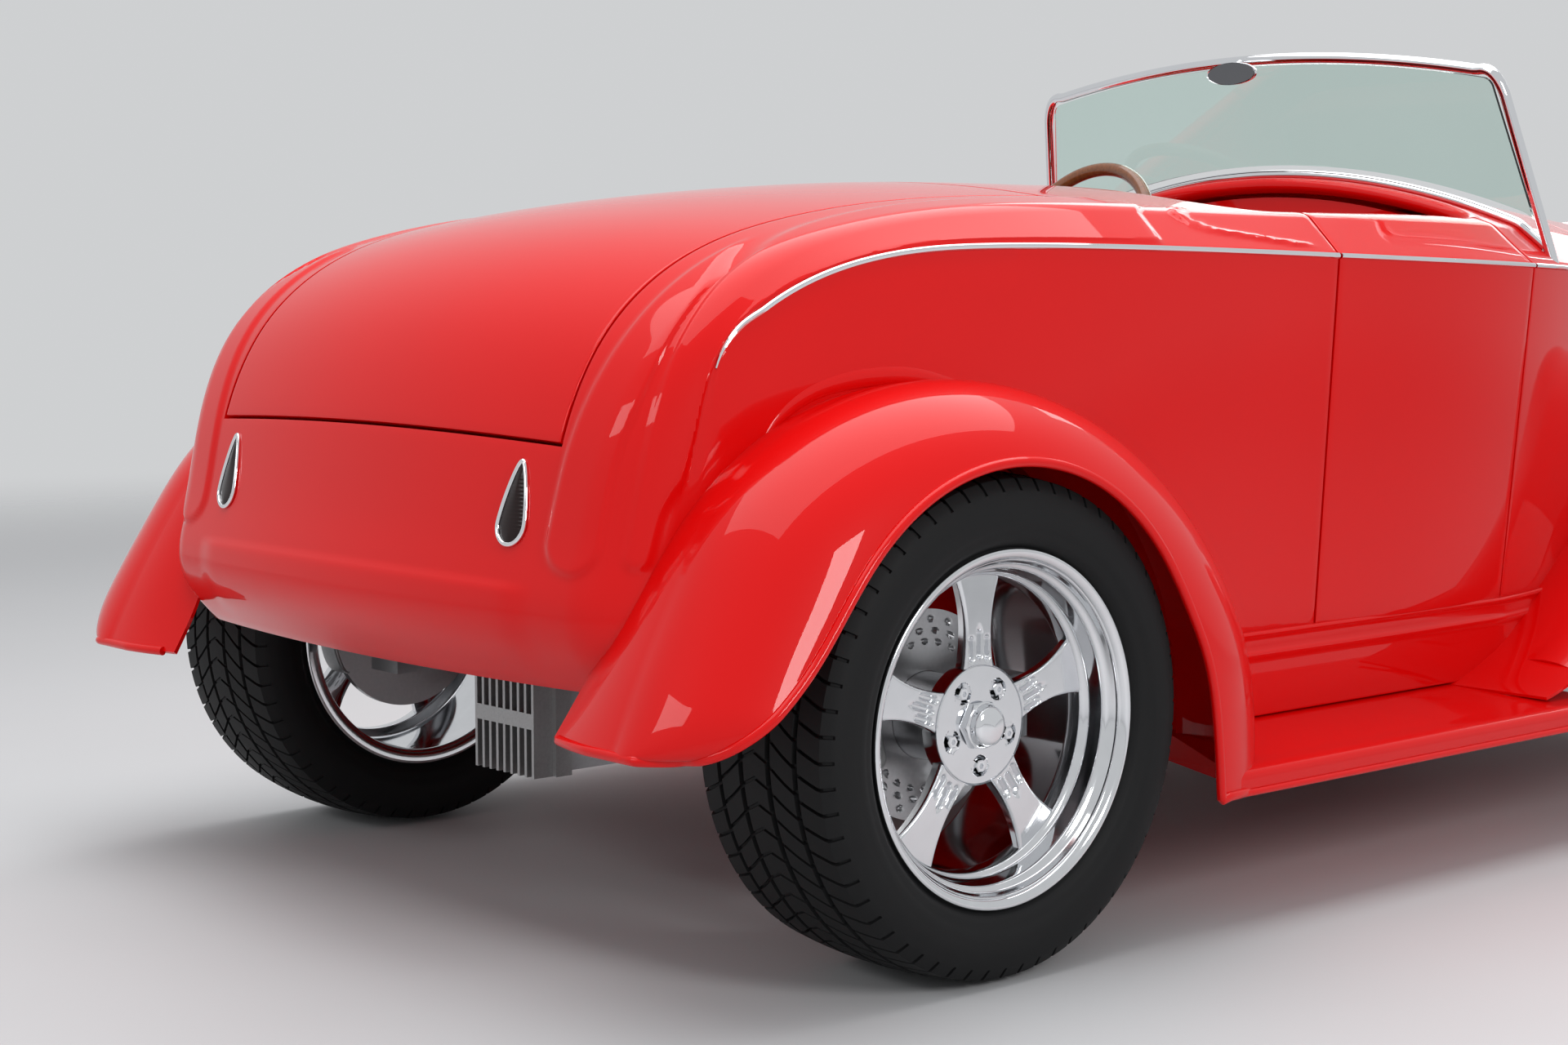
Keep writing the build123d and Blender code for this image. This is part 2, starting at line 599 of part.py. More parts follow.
# Floor: tunnelled floor, sills, firewall, boot floor and wheelhouses
with BuildPart() as wheelhouses:
    for side in SIDES.values():
        with Locations((REAR_AXLE_X, side * (BOOT_HALF + 30), REAR.tyre_r)):
            Cylinder(HOUSE_R + HOUSE_T, 60, rotation=(90, 0, 0))
        with Locations((REAR_AXLE_X, side * (BOOT_HALF + 30 + HOUSE_T), REAR.tyre_r)):
            Cylinder(HOUSE_R, 60, rotation=(90, 0, 0), mode=Mode.SUBTRACT)
    add(slab(-500, 500, -700, 700, 0, HOUSE_LOW), mode=Mode.SUBTRACT)
    add(slab(-430, 492, -BOOT_HALF, BOOT_HALF, BOOT_FLOOR_Z, BOOT_FLOOR_Z + FLOOR_T))
    add(slab(FIREWALL - 8, FIREWALL, -500, 500, SILL_TOP, 1200))
    add(lining, mode=Mode.INTERSECT)

with BuildPart() as floor:
    t = FLOOR_T
    with BuildSketch(section_plane(480, 0, 90)):
        with BuildLine():
            Polyline(
                (-SILL_INNER, FLOOR_Z), (-TUNNEL_HALF, FLOOR_Z), (-TUNNEL_HALF, TUNNEL_TOP),
                (TUNNEL_HALF, TUNNEL_TOP), (TUNNEL_HALF, FLOOR_Z), (SILL_INNER, FLOOR_Z),
                (SILL_INNER, FLOOR_Z + t), (TUNNEL_HALF + t, FLOOR_Z + t), (TUNNEL_HALF + t, TUNNEL_TOP + t),
                (-TUNNEL_HALF - t, TUNNEL_TOP + t), (-TUNNEL_HALF - t, FLOOR_Z + t), (-SILL_INNER, FLOOR_Z + t),
                close=True,
            )
        make_face()
    extrude(amount=1040)
    with BuildSketch(Plane((REAR_AXLE_X, 0, FLOOR_Z))):
        for side in SIDES.values():
            with BuildLine():
                Polyline(
                    (1520, side * SILL_INNER), (FIREWALL, side * 430), (FIREWALL, side * TUNNEL_HALF),
                    (1520, side * TUNNEL_HALF), close=True,
                )
            make_face()
    extrude(amount=t)
    add(slab(1520, FIREWALL, -TUNNEL_HALF - t, TUNNEL_HALF + t, TUNNEL_TOP, TUNNEL_TOP + t))
    for side in SIDES.values():
        wall = sorted((side * TUNNEL_HALF, side * (TUNNEL_HALF + t)))
        add(slab(1520, FIREWALL, wall[0], wall[1], FLOOR_Z, TUNNEL_TOP + t))
        sill = sorted((side * SILL_INNER, side * SILL_OUTER))
        add(slab(480, 1510, sill[0], sill[1], SILL_BOTTOM, SILL_TOP - SEAT_GAP))
    add(slab(FIREWALL - 8, FIREWALL, -430, 430, FLOOR_Z, SILL_TOP))
    add(slab(480, 492, -BOOT_HALF, BOOT_HALF, FLOOR_Z, BOOT_FLOOR_Z + t))
    add(wheelhouses.part)
    add(slab(1500, FIREWALL + 10, -TUNNEL_HALF, TUNNEL_HALF, FLOOR_Z, TUNNEL_TOP), mode=Mode.SUBTRACT)
    add(slab(470, 500, -50, 50, 0, 360), mode=Mode.SUBTRACT)
save(floor.part, "floor_pan")

# Frame: two kicked-up rails, crossmembers, pads and the radiator's cradle
Member = namedtuple("Member", "x0 x1 half z0 z1")
RAIL_INNER = RAIL_Y - RAIL_W / 2 + 2
RAIL_OUTER = RAIL_Y + RAIL_W / 2
CROSSMEMBERS = [
    Member(-410, -350, RAIL_INNER, 475, 515),
    Member(-190, -110, RAIL_INNER, 462, 525),
    Member(520, 590, RAIL_INNER, 232, 262),
    Member(1180, 1260, RAIL_INNER, 232, 262),
    Member(1640, 1700, RAIL_INNER, 206, 237),
    Member(2665, 2735, RAIL_INNER, 335, 375),
    Member(2760, 2905, RAIL_INNER, 380, 405),
    Member(3040, 3080, RAIL_INNER, 350, 395),
    Member(2770, 2813, 90, 400, 520),
    Member(2855, 2895, 40, 400, 480),
]
COIL_X, COIL_Y, COIL_TOP, COIL_FOOT = -150, 440, 505, 330
BAR_PIVOT = 640
rail_top = [(-420, 520), (-300, 530), (190, 530), (470, RAIL_TOP), (2150, RAIL_TOP), (2420, 405), (3120, 405)]
rail_low = [(3120, 345), (2440, 330), (2190, 226), (440, 226), (150, 455), (-300, 455), (-420, 470)]
with BuildPart() as frame:
    for side in SIDES.values():
        add(side_prism(rail_top + rail_low, side * RAIL_Y - RAIL_W / 2, side * RAIL_Y + RAIL_W / 2))
        pad = sorted((side * (230 + SEAT_GAP), side * RAIL_INNER))
        add(slab(2300, 2400, pad[0], pad[1], 345, 380))
        shelf = sorted((side * (RAIL_OUTER - 2), side * (COIL_Y + 30)))
        add(slab(COIL_X - 40, COIL_X + 40, shelf[0], shelf[1], COIL_TOP, COIL_TOP + 25))
        lug = sorted((side * (RAIL_OUTER - 2), side * 400))
        add(slab(BAR_PIVOT - 20, BAR_PIVOT + 20, lug[0], lug[1], 250, 310))
        add(slab(1990, 2030, lug[0], lug[1], 250, 310))
    for member in CROSSMEMBERS:
        add(slab(member.x0, member.x1, -member.half, member.half, member.z0, member.z1))
    with BuildSketch(shell_plane):
        add(shield(-SEAT_GAP))
    extrude(amount=SHELL_DEPTH, mode=Mode.SUBTRACT)
    with BuildSketch(shell_plane.offset(-60)):
        with Locations((0, -SHELL_DROP * 0.5)):
            Rectangle(400, SHELL_DROP * 0.78 + 2 * SEAT_GAP)
    extrude(amount=45, mode=Mode.SUBTRACT)
save(frame.part, "chassis_frame")

ENGINE_HALF, ENGINE_REAR, ENGINE_FRONT = 230, 2062, 2620
save(slab(ENGINE_REAR, ENGINE_FRONT, -ENGINE_HALF, ENGINE_HALF, 285, 900), "engine_block")

# Gearbox and propeller shaft on one line from the engine to the axle
CRANK_Z, PINION_Z, SHAFT_START = 345, 300, 112
Step = namedtuple("Step", "run r")
SHAFT_STEPS = [Step(0, 36), Step(1180, 36), Step(1200, 52), Step(1420, 60), Step(1480, 96), Step(1760, 104), Step(1830, 140)]
with BuildPart() as driveline:
    reach = ENGINE_REAR - SEAT_GAP - SHAFT_START
    slope = atan2(CRANK_Z - PINION_Z, reach)
    start = (REAR_AXLE_X + SHAFT_START, 0, PINION_Z)
    length = hypot(reach, CRANK_Z - PINION_Z)
    with BuildSketch(Plane(origin=start, x_dir=(cos(slope), 0, sin(slope)), z_dir=(0, -1, 0))):
        with BuildLine():
            Polyline((0, 0), *[(step.run, step.r) for step in SHAFT_STEPS], (length, 140), (length, 0), close=True)
        make_face()
    revolve(axis=Axis(start, (cos(slope), 0, sin(slope))))
    add(slab(ENGINE_REAR - SEAT_GAP, 2300, -400, 400, 0, 700), mode=Mode.SUBTRACT)
save(driveline.part, "gearbox_driveshaft")

# Exhaust: a pipe and a silencer each side, hung under the crossmembers
EXHAUST_Y, EXHAUST_Z = 250, 200
with BuildPart() as exhaust:
    for side in SIDES.values():
        with BuildSketch(Plane(origin=(REAR_AXLE_X + 300, side * EXHAUST_Y, EXHAUST_Z), z_dir=(1, 0, 0))):
            Circle(25)
        extrude(amount=1290)
        with BuildSketch(Plane(origin=(REAR_AXLE_X + 700, side * EXHAUST_Y, EXHAUST_Z - 6), z_dir=(1, 0, 0))):
            Circle(46)
        extrude(amount=440)
        add(slab(1200, 1230, side * EXHAUST_Y - 10, side * EXHAUST_Y + 10, 215, 232 - SEAT_GAP))
save(exhaust.part, "exhaust")

# Rear axle: tubes, centre case, radius bars, caliper each side
CALIPER_IN, CALIPER_OUT = 588, 700
with BuildPart() as axle:
    with Locations((REAR_AXLE_X, 0, REAR.tyre_r)):
        Cylinder(AXLE_TUBE_R, 2 * (REAR.hub_in - SEAT_GAP), rotation=(90, 0, 0))
        Cylinder(105, 190, rotation=(90, 0, 0))
    add(slab(-185, 60, -84, 84, 212, 372))
    with Locations((REAR_AXLE_X + 60, 0, PINION_Z)):
        Cylinder(60, 99, rotation=(0, 90, 0))
    for side in SIDES.values():
        plate = sorted((side * CALIPER_IN, side * (CALIPER_IN + 12)))
        add(slab(0, 176, plate[0], plate[1], 332, 372))
        caliper = sorted((side * CALIPER_IN, side * CALIPER_OUT))
        add(slab(108, 176, caliper[0], caliper[1], 306, 398))
        slot = sorted((side * (REAR.disc_in - 4), side * (REAR.disc_in + DISC_T + 4)))
        add(slab(90, 158, slot[0], slot[1], 290, 410), mode=Mode.SUBTRACT)
        link = sorted((side * 400, side * 480))
        add(slab(COIL_X - 36, 40, link[0], link[1], 305, COIL_FOOT))
        add(rod((20, side * 418, 318), (BAR_PIVOT, side * 418, 280), 14))
        eye = sorted((side * (400 + SEAT_GAP), side * 436))
        add(slab(BAR_PIVOT - 18, BAR_PIVOT + 18, eye[0], eye[1], 262, 298))
save(axle.part, "rear_axle")

with BuildPart() as cover:
    add(slab(-215, -185 - SEAT_GAP, -COVER_HALF - 12, COVER_HALF + 12, COVER_LOW, COVER_HIGH))
    with Locations((REAR_AXLE_X - 226, 0, (COVER_LOW + COVER_HIGH) / 2)):
        with GridLocations(0, 2 * COVER_HALF / (COVER_FINS - 1), 1, COVER_FINS):
            Box(48, 6, COVER_HIGH - COVER_LOW)
    add(slab(-250, -213, -COVER_HALF, COVER_HALF, 280, 304))
save(cover.part, "quickchange_cover")

# Rear suspension: coil-overs standing between the axle and the frame's shelves
COILS, COIL_R, COIL_WIRE = 6, 32, 8
with BuildPart() as springs:
    for side in SIDES.values():
        with BuildSketch(Plane(origin=(REAR_AXLE_X + COIL_X, side * COIL_Y, COIL_FOOT + SEAT_GAP))):
            Circle(25)
        extrude(amount=COIL_TOP - COIL_FOOT - 2 * SEAT_GAP)
        for ring in range(COILS):
            with Locations((REAR_AXLE_X + COIL_X, side * COIL_Y, 372 + ring * 24)):
                Torus(COIL_R, COIL_WIRE)
save(springs.part, "rear_suspension")

# Front axle: dropped beam with eyes, transverse leaf, hairpin bars
BEAM_LOW, BEAM_HIGH, BEAM_T = 240, 285, 20
EYE_R, EYE_LOW, EYE_HIGH = 24, 290, 335
beam_line = [
    (0, BEAM_LOW), (470, BEAM_LOW), (560, EYE_LOW), (KINGPIN_Y, EYE_LOW), (KINGPIN_Y, EYE_HIGH),
    (545, EYE_HIGH), (455, BEAM_HIGH), (0, BEAM_HIGH),
]
with BuildPart() as front_axle:
    for side in SIDES.values():
        with BuildSketch(section_plane(WHEELBASE - BEAM_T, 0, 90)):
            with BuildLine():
                Polyline(*[(side * y, z) for y, z in beam_line], close=True)
            make_face()
        extrude(amount=2 * BEAM_T)
        with BuildSketch(Plane((FRONT_AXLE_X, side * KINGPIN_Y, EYE_LOW))):
            Circle(EYE_R)
        extrude(amount=EYE_HIGH - EYE_LOW)
        with BuildSketch(section_plane(WHEELBASE - 22, 0, 90)):
            with BuildLine():
                ThreePointArc((0, 321), (side * 210, 316), (side * 420, 296))
                Line((side * 420, 296), (side * 420, 282))
                Line((side * 420, 282), (side * 380, 282))
                Line((side * 380, 282), (side * 380, 288))
                ThreePointArc((side * 380, 288), (side * 200, 303), (0, 307))
                Line((0, 307), (0, 321))
            make_face()
        extrude(amount=44)
        add(rod((WHEELBASE, side * 436, 276), (2010, side * 418, 292), 10))
        add(rod((WHEELBASE, side * 436, 248), (2010, side * 418, 272), 10))
        eye = sorted((side * (400 + SEAT_GAP), side * 432))
        add(slab(1994, 2026, eye[0], eye[1], 262, 302))
        with Locations((FRONT_AXLE_X, side * KINGPIN_Y, (EYE_LOW + EYE_HIGH) / 2)):
            Cylinder(KINGPIN_R + 1, EYE_HIGH - EYE_LOW + 2, mode=Mode.SUBTRACT)
    add(slab(WHEELBASE - 30, WHEELBASE + 30, -60, 60, 307, 335 - SEAT_GAP))
save(front_axle.part, "front_axle")

# Knuckles: fork round the beam's eye, plate, stub, steering arm and caliper
FORK_GAP, FORK_T, FORK_R = 3, 42, 22
for name, side in SIDES.items():
    with BuildPart() as knuckle:
        pin_low, pin_high = EYE_LOW - FORK_GAP - FORK_T, EYE_HIGH + FORK_GAP + FORK_T
        for low, r, high in ((pin_low, FORK_R, EYE_LOW - FORK_GAP), (EYE_HIGH + FORK_GAP, FORK_R, pin_high),
                             (pin_low, KINGPIN_R, pin_high)):
            with BuildSketch(Plane((FRONT_AXLE_X, side * KINGPIN_Y, low))):
                Circle(r)
            extrude(amount=high - low)
        inner, outer = sorted((side * KINGPIN_Y, side * 664))
        for low, high in ((pin_low, EYE_LOW - FORK_GAP), (EYE_HIGH + FORK_GAP, pin_high)):
            add(slab(WHEELBASE - 20, WHEELBASE + 20, inner, outer, low, high))
        inner, outer = sorted((side * 652, side * 664))
        add(slab(WHEELBASE - 30, WHEELBASE + 30, inner, outer, pin_low, pin_high))
        add(slab(WHEELBASE - 158, WHEELBASE - 20, inner, outer, 288, 338))
        inner, outer = sorted((side * 652, side * (FRONT.hub_in - SEAT_GAP)))
        with Locations((FRONT_AXLE_X, (inner + outer) / 2, FRONT.tyre_r)):
            Cylinder(30, outer - inner, rotation=(90, 0, 0))
        inner, outer = sorted((side * 652, side * 706))
        add(slab(WHEELBASE - 166, WHEELBASE - 96, inner, outer, 272, 352))
        inner, outer = sorted((side * (FRONT.disc_in - 4), side * (FRONT.disc_in + DISC_T + 4)))
        add(slab(WHEELBASE - 148, WHEELBASE - 80, inner, outer, 260, 364), mode=Mode.SUBTRACT)
        arm = [
            (WHEELBASE - 4, side * (KINGPIN_Y - 14)), (WHEELBASE - 4, side * (KINGPIN_Y + 14)),
            (WHEELBASE - ARM_BACK - 16, side * (ARM_IN + 12)), (WHEELBASE - ARM_BACK - 16, side * (ARM_IN - 12)),
        ]
        add(plan_prism(arm, ARM_LOW, ARM_HIGH))
    save(knuckle.part, f"knuckle_{name}")

TIE_Z, TIE_R, TIE_EYE_R = 219, 8, 15
with BuildPart() as tie_rod:
    add(rod((WHEELBASE - ARM_BACK, -ARM_IN, TIE_Z), (WHEELBASE - ARM_BACK, ARM_IN, TIE_Z), TIE_R))
    for side in SIDES.values():
        with BuildSketch(Plane((FRONT_AXLE_X - ARM_BACK, side * ARM_IN, TIE_Z - TIE_R - 2))):
            Circle(TIE_EYE_R)
        extrude(amount=ARM_LOW - SEAT_GAP - TIE_Z + TIE_R + 2)
save(tie_rod.part, "tie_rod")


def wheel_plane(axle_x, centre_z):
    """A plane through an axle whose first axis runs across the car, for turned profiles."""
    return Plane(origin=(axle_x, 0, centre_z), x_dir=(0, 1, 0), z_dir=(1, 0, 0))


def rim_part(wheel, axle_x, side):
    """A stepped rim with spokes, hub, lugs, cap and brake disc, all turning together."""
    mid, half = side * wheel.half_track, wheel.rim_w / 2
    seat_r = wheel.lip_r - RIM_SEAT
    profile = [
        (half, wheel.lip_r), (half - RIM_WALL, wheel.lip_r), (half - RIM_WALL, seat_r),
        (RIM_WALL - half, seat_r), (RIM_WALL - half, wheel.lip_r), (-half, wheel.lip_r),
        (-half, seat_r - 9), (half - 98, seat_r - 9), (half - 86, seat_r - 26),
        (half - 58, seat_r - 26), (half - 54, seat_r - 18), (half - 28, seat_r - 14),
        (half - 24, seat_r - 4), (half - 6, seat_r), (half, wheel.lip_r - 8),
    ]
    face = mid + side * (half - SPOKE_FACE)
    axis = Axis((axle_x, 0, wheel.tyre_r), (0, 1, 0))
    with BuildPart() as rim:
        with BuildSketch(wheel_plane(axle_x, wheel.tyre_r)):
            with BuildLine():
                Polyline(*[(mid + side * y, r) for y, r in profile], close=True)
            make_face()
        revolve(axis=axis)
        with BuildSketch(wheel_plane(axle_x, wheel.tyre_r)):
            with BuildLine():
                Polyline(
                    (side * wheel.hub_in, 0), (side * wheel.hub_in, HUB_R), (side * wheel.disc_in, HUB_R),
                    (side * wheel.disc_in, wheel.disc_r), (side * (wheel.disc_in + DISC_T), wheel.disc_r),
                    (side * (wheel.disc_in + DISC_T), HUB_R), (face - side * SPOKE_DEPTH, HUB_R),
                    (face - side * SPOKE_DEPTH, HUB_FACE_R), (face - side * 6, HUB_FACE_R),
                    (face, HUB_FACE_R - 8), (face, 0), close=True,
                )
            make_face()
        revolve(axis=axis)
        outward = Plane(origin=(axle_x, face, wheel.tyre_r), x_dir=(0, 0, 1), z_dir=(0, side, 0))
        with BuildSketch(outward.offset(-SPOKE_DEPTH)):
            with PolarLocations(0, SPOKES):
                Polygon(
                    (40, -36), (HUB_FACE_R, -34), (seat_r * 0.62, -25), (seat_r - 20, -36),
                    (seat_r - 20, 36), (seat_r * 0.62, 25), (HUB_FACE_R, 34), (40, 36),
                    align=(Align.NONE, Align.NONE),
                )
        extrude(amount=SPOKE_DEPTH)
        with BuildSketch(outward.offset(-12)):
            with PolarLocations(LUG_PCD_R, SPOKES):
                Circle(LUG_POCKET_R)
        extrude(amount=12, mode=Mode.SUBTRACT)
        with BuildSketch(outward.offset(-14)):
            with PolarLocations(LUG_PCD_R, SPOKES):
                RegularPolygon(LUG_R, 6)
        extrude(amount=14 + LUG_STAND)
        with BuildSketch(outward.offset(-2)):
            RegularPolygon(CAP_R, 6)
        extrude(amount=CAP_STAND + 2)
    return rim.part


def tyre_part(wheel, axle_x, side):
    """A tyre as a plain hollow ring, its beads just clear of the rim."""
    mid, half = side * wheel.half_track, wheel.tyre_w / 2
    bead_y, bead_r = wheel.rim_w / 2 - RIM_WALL - SEAT_GAP, wheel.lip_r - RIM_SEAT + SEAT_GAP
    waist_r = (wheel.lip_r + wheel.tyre_r) / 2 - 6
    tread_y = half - 18
    with BuildPart() as tyre:
        with BuildSketch(wheel_plane(axle_x, wheel.tyre_r)):
            with BuildLine():
                for end in (1, -1):
                    Line((mid + end * (bead_y - 20), bead_r), (mid + end * bead_y, bead_r))
                    Line((mid + end * bead_y, bead_r), (mid + end * bead_y, wheel.lip_r + 2))
                    ThreePointArc(
                        (mid + end * bead_y, wheel.lip_r + 2), (mid + end * half, waist_r),
                        (mid + end * tread_y, wheel.tyre_r - 9),
                    )
                    ThreePointArc(
                        (mid + end * (bead_y - 20), bead_r), (mid + end * (half - 16), waist_r),
                        (mid + end * (tread_y - 16), wheel.tyre_r - 22),
                    )
                ThreePointArc((mid - tread_y, wheel.tyre_r - 9), (mid, wheel.tyre_r), (mid + tread_y, wheel.tyre_r - 9))
                Line((mid - tread_y + 16, wheel.tyre_r - 22), (mid + tread_y - 16, wheel.tyre_r - 22))
            make_face()
        revolve(axis=Axis((axle_x, 0, wheel.tyre_r), (0, 1, 0)))
    return tyre.part


for end, wheel, axle_x in (("rear", REAR, REAR_AXLE_X), ("front", FRONT, FRONT_AXLE_X)):
    for name, side in SIDES.items():
        save(rim_part(wheel, axle_x, side), f"rim_{end}_{name}")
        save(tyre_part(wheel, axle_x, side), f"tyre_{end}_{name}")

# Windshield: chrome frame on its raked plane, its foot following the cowl, with the mirror
rake = radians(SCREEN_RAKE)
screen_plane = Plane(
    origin=(REAR_AXLE_X + SCREEN_X, 0, SCREEN_Z), x_dir=(0, 1, 0), z_dir=(cos(rake), 0, sin(rake)),
)


def screen_face(inset):
    """The windshield's outline drawn in by an inset, open at its foot."""
    side_half, side_top = SCREEN_TOP_HALF - inset, SCREEN_SIDE - inset
    with BuildSketch() as face:
        with BuildLine():
            Polyline(
                (side_half, side_top), (SCREEN_FOOT_HALF - inset, SCREEN_FOOT),
                (inset - SCREEN_FOOT_HALF, SCREEN_FOOT), (-side_half, side_top),
            )
            ThreePointArc((-side_half, side_top), (0, SCREEN_TOP - inset), (side_half, side_top))
        make_face()
        fillet(face.vertices().sort_by(Axis.Y)[-2:], SCREEN_CORNER - inset)
    return face.sketch


def screen_pane(inset, depth):
    """The windshield's opening inside a frame of the inset, down to the frame's foot."""
    with BuildPart() as pane:
        with BuildSketch(screen_plane.offset(-depth / 2)):
            add(screen_face(inset))
        extrude(amount=depth)
        add(skin_form(CABIN_SKIN, inset), mode=Mode.SUBTRACT)
    return pane.part


with BuildPart() as screen:
    with BuildSketch(screen_plane.offset(-SCREEN_DEPTH / 2)):
        add(screen_face(0))
    extrude(amount=SCREEN_DEPTH)
    add(screen_pane(SCREEN_FRAME, 2 * SCREEN_DEPTH), mode=Mode.SUBTRACT)
    add(seat_form, mode=Mode.SUBTRACT)
    mirror_x = SCREEN_X - (MIRROR_Z - SCREEN_Z) * tan(rake)
    with BuildSketch(Plane(origin=(REAR_AXLE_X + mirror_x - 42, MIRROR_Y, MIRROR_Z), x_dir=(0, 1, 0), z_dir=(1, 0, 0))):
        Ellipse(MIRROR_HALF_W, MIRROR_HALF_H)
    extrude(amount=14)
    add(slab(mirror_x - 34, mirror_x - 2, MIRROR_Y - 7, MIRROR_Y + 7, MIRROR_Z + 17, MIRROR_Z + 32))
save(screen.part, "windshield_frame")
save(screen_pane(SCREEN_FRAME + 2 * SKIN_GAP, GLASS_T), "windshield_glass")

# Dashboard, column and steering wheel
fall = radians(COLUMN_ANGLE)
hub = Vector(REAR_AXLE_X + WHEEL_HUB_X, WHEEL_HUB_Y, WHEEL_HUB_Z)
column_plane = Plane(origin=hub, x_dir=(0, 1, 0), z_dir=(cos(fall), 0, -sin(fall)))
COLUMN_R, HUB_BACK = 22, 16
with BuildPart() as dashboard:
    add(slab(COCKPIT_FRONT + 2, 1600, -700, 700, 900, 1300))
    add(lining, mode=Mode.INTERSECT)
    with BuildSketch(column_plane):
        Circle(COLUMN_R + SEAT_GAP)
    extrude(amount=600, mode=Mode.SUBTRACT)
save(dashboard.part, "dashboard")

with BuildPart() as column:
    with BuildSketch(column_plane.offset(HUB_BACK + SEAT_GAP)):
        Circle(COLUMN_R)
    extrude(amount=700)
    add(slab(FIREWALL - 8 - SEAT_GAP, 2300, -700, 700, 0, 1300), mode=Mode.SUBTRACT)
save(column.part, "steering_column")

with BuildPart() as steering_wheel:
    with BuildSketch(Plane(origin=hub, x_dir=(cos(fall), 0, -sin(fall)), z_dir=(0, -1, 0))):
        with Locations((0, STEERING_R)):
            Circle(STEERING_RIM_R)
    revolve(axis=Axis(hub, (cos(fall), 0, -sin(fall))))
    with BuildSketch(column_plane.offset(-14)):
        Circle(34)
    extrude(amount=14 + HUB_BACK)
    with BuildSketch(column_plane.offset(-4)):
        with PolarLocations(STEERING_R / 2, 3, start_angle=-90):
            Rectangle(STEERING_R, 22)
    extrude(amount=8)
save(steering_wheel.part, "steering_wheel")

# Seat: a bench over the tunnel with a back, pleated across
SEAT_FRONT, SEAT_REAR, SEAT_HALF, SEAT_TOP, SEAT_BACK_TOP = 1330, 850, 500, 640, 1000
with BuildPart() as seat:
    add(slab(SEAT_REAR, SEAT_FRONT, -SEAT_HALF, SEAT_HALF, FLOOR_Z + FLOOR_T + SEAT_GAP, SEAT_TOP))
    add(slab(SEAT_REAR - 20, SEAT_REAR + 110, -SEAT_HALF, SEAT_HALF, SEAT_TOP - 40, SEAT_BACK_TOP))
    tunnel_half = TUNNEL_HALF + FLOOR_T + SEAT_GAP
    add(slab(800, 1400, -tunnel_half, tunnel_half, 0, TUNNEL_TOP + FLOOR_T + SEAT_GAP), mode=Mode.SUBTRACT)
save(seat.part, "seat")

# Tail lamps: teardrops standing on the tail's skin
LAMP_Y, LAMP_Z, LAMP_R, LAMP_TOP, LAMP_STAND = 387, 632, 27, 717, 12
with BuildPart() as tail_lamps:
    with BuildSketch(section_plane(-650, 0, 90)):
        for side in SIDES.values():
            with BuildLine():
                Line((side * LAMP_Y, LAMP_TOP), (side * LAMP_Y + LAMP_R, LAMP_Z))
                ThreePointArc(
                    (side * LAMP_Y + LAMP_R, LAMP_Z), (side * LAMP_Y, LAMP_Z - LAMP_R),
                    (side * LAMP_Y - LAMP_R, LAMP_Z),
                )
                Line((side * LAMP_Y - LAMP_R, LAMP_Z), (side * LAMP_Y, LAMP_TOP))
            make_face()
    extrude(amount=300)
    add(skin_form(TAIL_SKIN, LAMP_STAND), mode=Mode.INTERSECT)
    add(seat_form, mode=Mode.SUBTRACT)
save(tail_lamps.part, "tail_lamps")

# Headlamps: bowls on posts from the rails
HEAD_X, HEAD_Y, HEAD_Z, HEAD_R, POST_R = 2720, 405, 850, 88, 12
bowl = [(-150, 0), (-146, 24), (-120, 54), (-70, 78), (-14, HEAD_R), (0, HEAD_R), (0, 80), (14, 50), (20, 0)]
with BuildPart() as headlamps:
    for side in SIDES.values():
        centre = (REAR_AXLE_X + HEAD_X, side * HEAD_Y, HEAD_Z)
        with BuildSketch(Plane(origin=centre, x_dir=(1, 0, 0), z_dir=(0, -1, 0))):
            with BuildLine():
                Polyline(*bowl, close=True)
            make_face()
        revolve(axis=Axis(centre, (1, 0, 0)))
        foot = 405 + SEAT_GAP
        add(rod((HEAD_X - 40, side * RAIL_Y, foot), (HEAD_X - 40, side * RAIL_Y, HEAD_Z - 40), POST_R))
save(headlamps.part, "headlamps")
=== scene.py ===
"""Studio scene of a fendered street rod roadster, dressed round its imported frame.

Metres in the frame's own axes: +X forward, +Y to the car's left, +Z up. The shapes are
worked out in millimetres as parametric surfaces and scaled once, when a mesh is made.
Stations count forward from the rear axle.
"""

import logging
import math
from dataclasses import dataclass, field
from enum import Enum
from typing import Any, Optional, Sequence

